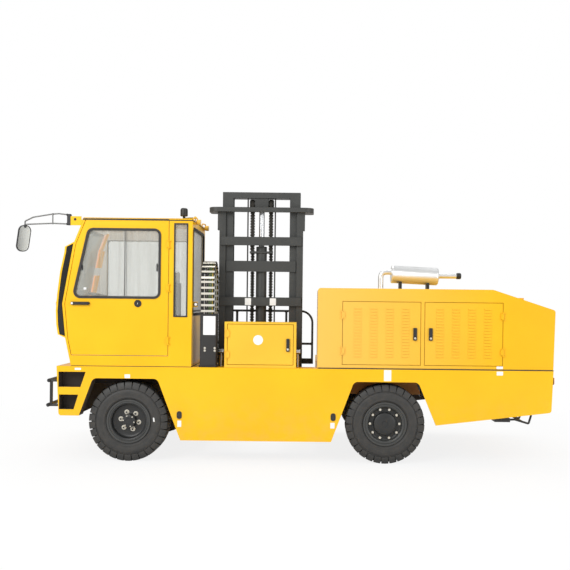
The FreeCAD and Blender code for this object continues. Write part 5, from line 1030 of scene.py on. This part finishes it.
def tailLamps():
    low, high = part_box("tail_lamps")
    base = Shape()
    lenses = {"red": Shape(), "amber": Shape(), "clear": Shape()}
    for side in (-1, 1):
        base.box((low.x + 0.001, side * 0.93 - 0.1095, 0.8505), (high.x - 0.008, side * 0.93 + 0.1095, 0.9295), 0.004)
        spans = {"amber": (-0.106, -0.037), "clear": (-0.034, 0.022), "red": (0.025, 0.106)}
        for name, (first, last) in spans.items():
            ends = sorted((side * 0.93 - side * first, side * 0.93 - side * last))
            lenses[name].box((high.x - 0.0095, ends[0], 0.855), (high.x - 0.0005, ends[1], 0.925), 0.003)
    base.done("tailLampBases", "bezel", "chassis", ["tail_lamps"])
    for name, lens in lenses.items():
        lens.done(name + "TailLenses", name, "chassis", ["tail_lamps"])


tubeLook = {"x": -2.526, "reach": 0.999, "tube": 0.0198, "top": 0.836, "low": 0.575}


def tubeGuard():
    shape = Shape()
    x, reach, top, low = (tubeLook[key] for key in ("x", "reach", "top", "low"))
    for at, z in ((x, top), (x - 0.007, low)):
        shape.spin([(-reach, 0), (-reach, 0.014), (-reach + 0.006, tubeLook["tube"]), (reach - 0.006, tubeLook["tube"]),
                    (reach, 0.014), (reach, 0)], (at, 0, z), (0, 1, 0), 28, closed=False)
    for share in (-1, -0.34, 0.34, 1):
        y = 0.98 * share
        shape.box((x + 0.01, y - 0.0138, low), (x + 0.038, y + 0.0138, top), 0.003)
        shape.rod((x, y, top), (-2.404, y, top), 0.0138, 20)
        shape.rod((x - 0.006, y, low), (-2.391, y, low), 0.0138, 20)
    shape.done("tubeGuard", "black", "chassis", ["front_guard"])


mirror()
roofLamps()
headLamps()
tailLamps()
tubeGuard()
print("mirror, lamps and tube guard made")

# ---- exhaust

exhaustLook = {"y": -0.6, "front": (1.137, 2.021), "rear": (1.665, 1.998), "radius": 0.0978, "hoodTop": 1.85}


def exhaust():
    y = exhaustLook["y"]
    front = Vector((exhaustLook["front"][0], y, exhaustLook["front"][1]))
    rear = Vector((exhaustLook["rear"][0], y, exhaustLook["rear"][1]))
    long, radius = (rear - front).length, exhaustLook["radius"]
    body = Shape()
    body.spin([(0.001, 0), (0.001, radius - 0.02), (0.004, radius - 0.007), (0.012, radius), (0.016, radius + 0.0018),
               (0.022, radius + 0.0018), (0.026, radius - 0.0005), (long - 0.03, radius - 0.0005), (long - 0.014, radius - 0.004),
               (long - 0.005, radius - 0.014), (long - 0.001, radius - 0.03), (long - 0.001, 0)], front, rear - front, 72, closed=False)
    body.spin([(-0.002, 0.0302), (-0.002, 0.043), (0.006, 0.043), (0.006, 0.0302)], (1.6655, y, 2.008), (1, 0, 0), 40)
    body.pipe([(1.026, y, 1.852), (1.026, y, 2.045), (1.16, y, 2.045)], 0.0298, 28, 0.075)
    body.rod((1.64, y, 2.008), (1.868, y, 2.008), 0.0292, 28)
    body.spin([(0, 0.029), (0, 0.049), (0.008, 0.049), (0.01, 0.047), (0.01, 0.029)], (1.026, y, exhaustLook["hoodTop"]),
              (0, 0, 1), 36)
    body.done("muffler", "silver", "chassis", ["exhaust"])
    feet = Shape()
    for x in (1.242, 1.545):
        feet.box((x - 0.0138, y - 0.0595, 1.8502), (x + 0.0138, y + 0.0595, 1.935), 0.002)
        for side in (-1, 1):
            feet.rod((x, y + side * 0.046, 1.85), (x, y + side * 0.046, 1.866), 0.011, 6, 0.001)
    feet.spin([(0, 0), (0, 0.028), (0.006, 0.033), (0.014, 0.0348), (0.042, 0.0348), (0.05, 0.033), (0.0555, 0.027), (0.0558, 0)],
              (1.862, y, 2.008), (1, 0, 0), 36, closed=False)
    feet.done("mufflerFeet", "bezel", "chassis", ["exhaust"])


exhaust()
print("exhaust made")

# ---- driver's place

seatLook = {
    "middle": -0.59, "half": 0.225, "voxel": 0.006, "pressure": 4.0, "cap": 0.022,
    "seat": [(-1.675, 1.396), (-1.68, 1.462), (-1.262, 1.446), (-1.262, 1.396)],
    "back": [(-1.252, 1.49), (-1.312, 1.494), (-1.278, 2.04), (-1.252, 2.04)],
    "columnX": -2.03, "wheelZ": 1.731, "wheelRadius": 0.19,
}


def swollen(made, cap):
    # blows the closed form up as cloth and keeps each point within cap of its start
    before = [vert.co.copy() for vert in made.data.vertices]
    cloth = made.modifiers.new("cloth", "CLOTH")
    cloth.settings.use_pressure = True
    cloth.settings.uniform_pressure_force = seatLook["pressure"]
    cloth.settings.effector_weights.gravity = 0
    cloth.settings.quality = 4
    scene = bpy.context.scene
    for step in range(1, 21):
        scene.frame_set(step)
    shaped = bpy.data.meshes.new_from_object(made.evaluated_get(bpy.context.evaluated_depsgraph_get()))
    after = [vert.co.copy() for vert in shaped.vertices]
    made.modifiers.clear()
    bpy.data.meshes.remove(shaped)
    for vert, start, end in zip(made.data.vertices, before, after):
        move = end - start
        vert.co = start + move * min(1, cap / max(move.length, 1e-9))
    scene.frame_set(1)


def cushion(name, outline, flatX=None, flatZ=None):
    shape = Shape()
    middle, half = seatLook["middle"], seatLook["half"]
    shape.plate(rounded(outline, 0.03, 4), "xz", (middle - half, middle + half), 0.014)
    made = shape.done(name, "cloth", "chassis", ["seat_cushions"])
    remesh = made.modifiers.new("remesh", "REMESH")
    remesh.mode = "VOXEL"
    remesh.voxel_size = seatLook["voxel"]
    bpy.context.view_layer.update()
    fine = bpy.data.meshes.new_from_object(made.evaluated_get(bpy.context.evaluated_depsgraph_get()))
    made.modifiers.clear()
    made.data = fine
    swollen(made, seatLook["cap"])
    for vert in made.data.vertices:
        if flatX is not None:
            vert.co.x = min(vert.co.x, flatX)
        if flatZ is not None:
            vert.co.z = max(vert.co.z, flatZ)
        vert.co.y = max(middle - 0.2395, min(middle + 0.2395, vert.co.y))
    return made


def grooved(made, lines, depth, wide):
    # presses sewn channels into the face; a line is (axis, level)
    for vert in made.data.vertices:
        for axis, level, way in lines:
            near = math.exp(-((vert.co[axis] - level) / wide) ** 2)
            vert.co[way[0]] += way[1] * depth * near


def seat():
    middle = seatLook["middle"]
    pad = cushion("seatCushion", seatLook["seat"], flatZ=1.3815)
    grooved(pad, [(1, middle - 0.15, (2, -1)), (1, middle + 0.15, (2, -1)), (0, -1.58, (2, -1))], 0.006, 0.01)
    back = cushion("seatBack", seatLook["back"], flatX=-1.2415)
    grooved(back, [(1, middle - 0.15, (0, 1)), (1, middle + 0.15, (0, 1)), (2, 1.86, (0, 1))], 0.006, 0.01)
    for made in (pad, back):
        for vert in made.data.vertices:
            vert.co.x = min(vert.co.x, -1.2415)
            vert.co.z = max(vert.co.z, 1.3815)
        made.data.polygons.foreach_set("use_smooth", [True] * len(made.data.polygons))
        finer = made.modifiers.new("finer", "SUBSURF")
        finer.levels = finer.render_levels = 1


def driverControls():
    middle, x, z = seatLook["middle"], seatLook["columnX"], seatLook["wheelZ"]
    box = Shape()
    box.plate([(-2.15, 1.031), (-2.06, 1.69), (-2.0, 1.69), (-2.01, 1.031)], "xz", (middle - 0.058, middle + 0.058), 0.012)
    box.plate(rounded([(-2.262, 1.3), (-2.262, 1.56), (-2.18, 1.6), (-2.09, 1.54), (-2.11, 1.3)], 0.02), "xz",
              (middle - 0.33, middle + 0.33), 0.008)
    box.rod((x, middle, 1.66), (x, middle, 1.735), 0.03, 28, 0.004)
    for y in (-0.35, -0.3, -0.25):
        box.rod((-1.96, y, 1.3), (-1.972, y, 1.5), 0.006, 12)
        box.spin([(-0.024, 0), (-0.02, 0.01), (0, 0.0155), (0.02, 0.01), (0.024, 0)], (-1.972, y, 1.512), (0, 0, 1), 16, closed=False)
    box.box((-2.06, -0.4, 1.031), (-1.86, -0.2, 1.31), 0.015)
    for y in (middle - 0.2, middle + 0.13):
        box.box((-2.2, y, 1.06), (-2.1, y + 0.07, 1.075), 0.004, Matrix.Translation((-2.15, y, 1.07))
                @ Matrix.Rotation(-0.6, 4, "Y") @ Matrix.Translation((2.15, -y, -1.07)))
    box.done("driverConsole", "plastic", "chassis", ["steering_column"])
    wheel = Shape()
    ring = [(x + seatLook["wheelRadius"] * math.cos(math.pi * step / 24), middle + seatLook["wheelRadius"]
             * math.sin(math.pi * step / 24), z) for step in range(49)]
    wheel.pipe(ring, 0.0135, 14)
    wheel.spin([(-0.012, 0), (-0.012, 0.042), (0.002, 0.045), (0.01, 0.036), (0.013, 0)], (x, middle, z), (0, 0, 1), 28, closed=False)
    for angle in (90, 210, 330):
        way = Vector((math.cos(math.radians(angle)), math.sin(math.radians(angle)), 0))
        wheel.pipe([Vector((x, middle, z - 0.002)), Vector((x, middle, z - 0.004)) + way * 0.1,
                    Vector((x, middle, z)) + way * 0.188], 0.0115, 12, 0.01, 0.5)
    wheel.spin([(0, 0), (0.004, 0.012), (0.018, 0.017), (0.03, 0.012), (0.033, 0)], (x + 0.13, middle - 0.138, z + 0.0125),
               (0, 0, 1), 18, closed=False)
    tilt = Matrix.Translation((x, middle, z)) @ Matrix.Rotation(math.radians(13), 4, "Y") @ Matrix.Translation((-x, -middle, -z))
    bmesh.ops.transform(wheel.mesh, matrix=tilt, verts=wheel.mesh.verts)
    wheel.done("steeringWheel", "wheelRim", "chassis", ["steering_column"])


seat()
driverControls()
print("driver's place made")

# ---- small fittings round the cab

def cabExtras():
    seams = Shape()
    seams.box((-2.15, faceY - 0.0035, 2.5435), (-1.25, faceY + 0.004, 2.556), 0.002)
    seams.box((-2.262, faceY - 0.0015, 0.9992), (-1.002, faceY + 0.003, 1.006), 0.0012)
    seams.box((-1.0015, faceY + 0.004, 0.9992), (-0.9985, -0.095, 1.006), 0.001)
    seams.done("cabSeam", "seal", "chassis")
    # strips on the far front pillar, seen through the glass; their finish glows as painted light
    pillar = Shape()
    for low, high, wide in ((1.7, 1.985, 0.062), (2.075, 2.27, 0.07), (2.27, 2.47, 0.045)):
        pillar.plate([(frontX(low, 0.022), low), (frontX(low, 0.022 + wide), low), (frontX(high, 0.022 + wide), high),
                      (frontX(high, 0.022), high)], "xz", (-0.14, -0.129), 0.001)
    pillar.done("farPillarTrim", "pillar", "chassis")
    # upright sheets inside the wheel arches, dark at the front and dull orange at the rear: painted shade
    frontArchShadeSheet, rearArchShadeSheet = Shape(), Shape()
    for span in ((-0.642, -0.64), (0.64, 0.642)):
        frontArchShadeSheet.plate([(-2.18, 0.78), (-1.25, 0.78), (-1.34, 0.992), (-2.1, 0.992)], "xz", span, 0)
        rearArchShadeSheet.plate([(0.62, 0.69), (1.48, 0.69), (1.36, 0.992), (0.74, 0.992)], "xz", span, 0)
    frontArchShadeSheet.done("frontArchShadeSheet", "arch", "chassis")
    rearArchShadeSheet.done("rearArchShadeSheet", "archShadeBrown", "chassis")
    stay = Shape()
    stay.box((-0.9995, -1.052, 1.62), (-0.9965, -0.99, 1.7), 0.001)
    stay.box((-0.998, -1.024, 1.634), (-0.948, -1.016, 1.69), 0.003)
    stay.done("paneStay", "yellow", "chassis")
    knob = Shape()
    knob.spin([(-0.02, 0), (-0.019, 0.012), (-0.008, 0.0195), (0.004, 0.0195), (0.012, 0.015), (0.014, 0)], (-0.966, -1.03, 1.662),
              (0, 1, 0), 24, closed=False)
    knob.done("paneKnob", "plate", "chassis")
    bar = Shape()
    bar.box((-0.9995, -1.05, 1.585), (-0.986, -0.13, 1.599), 0.003)
    bar.spin([(-0.0135, 0.0155), (-0.0135, 0.0225), (0.0, 0.0225), (0.0, 0.0155)], (-0.966, -1.03, 1.662), (0, 1, 0), 24)
    bar.done("paneBar", "bezel", "chassis")


cabExtras()
print("cab fittings made")

# ---- plates, plugs and latches on the bodywork

plates = [
    # blank plates: (low x, low z, high x, high z) on the near side at a depth
    ((-1.137, 0.373), (-1.096, 0.439), -1.1, "chassis"), ((0.470, 0.374), (0.515, 0.433), -1.1, "chassis"),
    ((-2.221, 0.96), (-2.155, 0.982), -1.1, "chassis"), ((-1.697, 0.879), (-1.639, 0.919), -1.1, "chassis"),
    ((1.028, 0.878), (1.105, 0.994), -1.1, "chassis"), ((2.212, 0.95), (2.279, 0.991), -1.1, "chassis"),
    ((2.212, 1.016), (2.279, 1.044), -1.09, "chassis"), ((-0.882, 1.341), (-0.753, 1.54), -1.06, "chassis"),
]


def blankPlates():
    shape = Shape()
    for low, high, face, body in plates:
        outline = rounded([low, (high[0], low[1]), high, (low[0], high[1])], 0.004, 3)
        shape.plate(outline, "xz", (face - 0.0012, face + 0.0002), 0.0004)
    shape.done("blankPlates", "plate", "chassis")
    badge = Shape()
    badge.spin([(0.0002, 0), (0.0002, 0.052), (-0.0018, 0.0515), (-0.0026, 0.049), (-0.002, 0.046), (-0.002, 0)],
               (-0.299, -1.09, 1.294), sides=40, closed=False)
    badge.done("blankBadge", "plate", "toolbox_door")
    mastPlates = Shape()
    for x in (-0.4425, -0.168):
        outline = rounded([(x - 0.034, 1.66), (x + 0.034, 1.66), (x + 0.034, 1.738), (x - 0.034, 1.738)], 0.004, 3)
        mastPlates.plate(outline, "xz", (-0.6662, -0.6648), 0.0004)
    mastPlates.done("mastPlates", "plate", "outer_mast")


def sidePlugs():
    shape = Shape()
    for x, z in ((-1.118, 0.4975), (0.499, 0.493)):
        outline = rounded([(x - 0.026, z - 0.041), (x + 0.026, z - 0.041), (x + 0.026, z + 0.041), (x - 0.026, z + 0.041)],
                          0.0255, 8)
        shape.plate(outline, "xz", (-1.106, -1.0995), 0.002, sunk(outline, 0.007))
        shape.plate(sunk(outline, 0.006), "xz", (-1.1025, -1.0995), 0.001)
    shape.done("sidePlugs", "seal", "chassis")


def latches():
    spots = {
        "hood_door_front": (1.334, 1.31, 1.436), "hood_door_rear": (1.499, 1.31, 1.436),
        "toolbox_door": (0.001, 1.178, 1.307),
    }
    for node, (x, low, high) in spots.items():
        wide = 0.034 if node.startswith("hood") else 0.03
        cover = Shape()
        outline = rounded([(x - 0.002, low - 0.003), (x + wide + 0.002, low - 0.003), (x + wide + 0.002, high + 0.003),
                           (x - 0.002, high + 0.003)], 0.006, 3)
        cover.plate(outline, "xz", (-1.1055, -1.0895), 0.002)
        cover.box((x + 0.006, -1.1095, low + 0.04), (x + wide - 0.006, -1.105, high - 0.01), 0.002)
        cover.done(node + "Latch", "plastic", node)
        barrel = Shape()
        middle = x + wide / 2
        barrel.spin([(0, 0.0105), (-0.0035, 0.0105), (-0.0045, 0.009), (-0.0045, 0.004), (-0.003, 0.003), (-0.003, 0)],
                    (middle, -1.1055, low + 0.02), sides=24, closed=False)
        barrel.done(node + "LatchLock", "zinc", node)


blankPlates()
sidePlugs()
latches()


def deckSeam():
    # the dark joint between the hood and the chassis
    shape = Shape()
    shape.box((0.33, -1.0965, 0.9985), (2.806, -1.0895, 1.0115), 0.002)
    shape.box((2.8, -1.09, 0.9985), (2.8145, -0.09, 1.0085), 0.002)
    shape.done("hoodJoint", "seal", "chassis")


deckSeam()
print("plates and latches made")

# ---- guide chain behind the cab

guideLook = {"pitch": 0.062, "x": (-0.918, -0.776), "inside": 0.18, "outside": 0.22, "centre": (-0.78, 1.914),
             "low": 1.561, "farLow": 1.0}


def guidePath():
    # the chain's middle line and the way it faces, from the post over to the mast
    middleY, middleZ = guideLook["centre"]
    radius = (guideLook["inside"] + guideLook["outside"]) / 2
    line = []
    z = guideLook["low"] + guideLook["pitch"] / 2
    while z < middleZ:
        line.append((Vector((0, middleY - radius, z)), Vector((0, -1, 0))))
        z += guideLook["pitch"]
    count = round(math.pi * radius / guideLook["pitch"])
    for step in range(count):
        angle = math.pi * (step + 0.5) / count
        way = Vector((0, -math.cos(angle), math.sin(angle)))
        line.append((Vector((0, middleY, middleZ)) + way * radius, way))
    z = middleZ - guideLook["pitch"] / 2
    while z > guideLook["farLow"] + guideLook["pitch"] / 2:
        line.append((Vector((0, middleY + radius, z)), Vector((0, 1, 0))))
        z -= guideLook["pitch"]
    return line


def guideChain():
    bars, sides = Shape(), Shape()
    low, high = guideLook["x"]
    half = (guideLook["outside"] - guideLook["inside"]) / 2
    path = guidePath()
    for here, way in path:
        up = Vector((1, 0, 0)).cross(way)
        turn = Matrix((Vector((1, 0, 0)), way, up)).transposed().to_4x4()
        turn.translation = here
        for face in (-1, 1):
            bars.box((low + 0.001, face * half - 0.004 - face * 0.0045, -0.0115),
                     (high - 0.001, face * half + 0.004 - face * 0.0045, 0.0115), 0.002, turn)
        for x in (low + 0.008, high - 0.008):
            sides.box((x - 0.005, -half + 0.003, -0.03), (x + 0.005, half - 0.003, 0.03), 0.003, turn)
            sides.rod(turn @ Vector((x - 0.0075, 0, 0.027)), turn @ Vector((x + 0.0075, 0, 0.027)), 0.007, 12, 0.001)
    linkBars = bars.done("guideBars", "zinc", None, ["hose_guide_chain"])
    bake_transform(linkBars)
    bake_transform(sides.done("guideSides", "plastic", None, ["hose_guide_chain"]))
    line = [here for here, way in path]
    line = [line[0] - Vector((0, 0, 0.03))] + line + [line[-1] - Vector((0, 0, 0.03))]
    for name, finish, places in (("guideHoses", "seal", (-0.895, -0.872, -0.849)), ("guideCables", "cable", (-0.83, -0.812)),
                                 ("guideTube", "brass", (-0.796,))):
        hose = Shape()
        for x in places:
            hose.pipe([point + Vector((x, 0, 0)) for point in line], 0.0095 if finish == "seal" else 0.007, 10)
        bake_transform(hose.done(name, finish, None, ["hose_guide_chain"]))


guideChain()


def postBolts():
    shape = Shape()
    for x in (-0.863, -0.758):
        for z in (1.202, 1.175):
            shape.rod((x, -1.0595, z), (x, -1.0665, z), 0.0085, 6, 0.001)
            shape.rod((x, -1.0595, z), (x, -1.0615, z), 0.012, 20, 0.0005)
    shape.done("postBolts", "zinc", "chassis")


postBolts()
print("guide chain made")

# ---- lift chains

chainLook = {"pitch": 0.0155, "wide": 0.044, "thick": 0.0135, "y": -0.54, "x": (-0.409, -0.203)}


def leafChain(name, points, blend=None, body=None):
    # a leaf chain along points in the yz plane: packs of plates in turn
    shape = Shape()
    half = chainLook["wide"] / 2
    for x in chainLook["x"]:
        for index, (first, second) in enumerate(zip(points, points[1:])):
            way = second - first
            up = way.normalized()
            out = Vector((1, 0, 0)).cross(up)
            turn = Matrix((Vector((1, 0, 0)), out, up)).transposed().to_4x4()
            turn.translation = (first + second) / 2 + Vector((x, 0, 0))
            long = way.length / 2 + (0.003 if index % 2 else 0.001)
            wide = half if index % 2 else half * 0.62
            shape.box((-wide, -chainLook["thick"] / 2, -long), (wide, chainLook["thick"] / 2, long), 0.002, turn, 1)
    made = shape.done(name, "chain", body, ["lift_chains"])
    if blend:
        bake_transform(made)


def liftChains():
    y, reach = chainLook["y"], 0.0493
    pitch = chainLook["pitch"]
    top, sheave = 2.785, 0.0493
    count = round((top - 2.262) / pitch)
    back = [Vector((0, y - reach, lerp(2.262, top, step / count))) for step in range(count + 1)]
    leafChain("liftChainBack", back, ("outer_mast", "inner_mast", (0, y, 2.29), (0, y, 2.78)))
    turns = round(math.pi * sheave / pitch)
    arch = [Vector((0, y - sheave * math.cos(math.pi * step / turns), top + sheave * math.sin(math.pi * step / turns)))
            for step in range(turns + 1)]
    leafChain("liftChainArch", arch, None, "inner_mast")
    count = round((top - 1.13) / pitch)
    front = [Vector((0, y + reach, lerp(top, 1.132, step / count))) for step in range(count + 1)]
    leafChain("liftChainFront", front, ("inner_mast", "carriage", (0, y, 2.78), (0, y, 1.16)))


liftChains()
print("lift chains made")

# ---- floor, light and camera

stage = {"floorTone": 0.86, "floorSize": 60, "lampTilt": 50}


def studioFloor():
    bpy.ops.mesh.primitive_plane_add(size=stage["floorSize"], location=(0, 0, cadBox[0].z))
    floor = bpy.context.object
    floor.name = "floor"
    made = Finish("floorPaper", (stage["floorTone"],) * 3, 0.9)
    made.set("Specular IOR Level", 0.0)
    away = made.add("ShaderNodeVectorMath", {"operation": "LENGTH"}, {0: made.place()}).pick("Value")
    far = made.ramp(away / 20, (0.12, 0.84), (0.3, 1))
    camera = made.add("ShaderNodeLightPath", {}, {}).pick("Is Camera Ray")
    glow = made.add("ShaderNodeEmission", {}, {"Color": (1, 1, 1, 1), "Strength": 1.0})
    top = Wire(made, made.shader.outputs[0])
    both = made.add("ShaderNodeMixShader", {}, {0: camera * far, 1: top, 2: glow})
    made.feed(made.tree.nodes["Material Output"].inputs["Surface"], both)
    floor.data.materials.append(made.material)


def areaLamp(name, place, target, size, power):
    lamp = bpy.data.lights.new(name, "AREA")
    lamp.size = size
    lamp.energy = power
    holder = bpy.data.objects.new(name, lamp)
    holder.location = place
    holder.rotation_euler = (Vector(target) - Vector(place)).to_track_quat("-Z", "Y").to_euler()
    bpy.context.scene.collection.objects.link(holder)


def studioWorld():
    world = bpy.data.worlds.new("studio")
    bpy.context.scene.world = world
    world.use_nodes = True
    tree = world.node_tree
    back = tree.nodes["Background"]
    paths = tree.nodes.new("ShaderNodeLightPath")
    seen = tree.nodes.new("ShaderNodeMath")
    seen.operation = "MAXIMUM"
    tree.links.new(paths.outputs["Is Camera Ray"], seen.inputs[0])
    tree.links.new(paths.outputs["Is Transmission Ray"], seen.inputs[1])
    level = tree.nodes.new("ShaderNodeMapRange")
    level.inputs["To Min"].default_value = 0.62
    level.inputs["To Max"].default_value = 1.0
    tree.links.new(seen.outputs[0], level.inputs["Value"])
    tree.links.new(level.outputs[0], back.inputs["Strength"])
    back.inputs["Color"].default_value = (1, 1, 1, 1)


cameraPlan = {
    "place": (0.245, -9.6, 1.665),
    "lens": 51.1,
    "roll": -0.0111,
    "shift": (-0.0442, 0.0357),
}


def studioCamera():
    lens = bpy.data.cameras.new("camera")
    holder = bpy.data.objects.new("camera", lens)
    bpy.context.scene.collection.objects.link(holder)
    holder.location = cameraPlan["place"]
    holder.rotation_euler = (math.pi / 2, cameraPlan["roll"], 0)
    lens.lens = cameraPlan["lens"]
    lens.shift_x, lens.shift_y = cameraPlan["shift"]
    bpy.context.scene.camera = holder


studioFloor()
areaLamp("keyLamp", (-6, -9, 7), (0, 0, 1), 6, 700)
areaLamp("fillLamp", (8, -7, 4), (0, 0, 1), 6, 260)
areaLamp("topLamp", (0, 2, 9), (0, 0, 1), 6, 300)
studioWorld()
studioCamera()
bpy.context.scene.view_settings.view_transform = "Standard"
print("stage set")
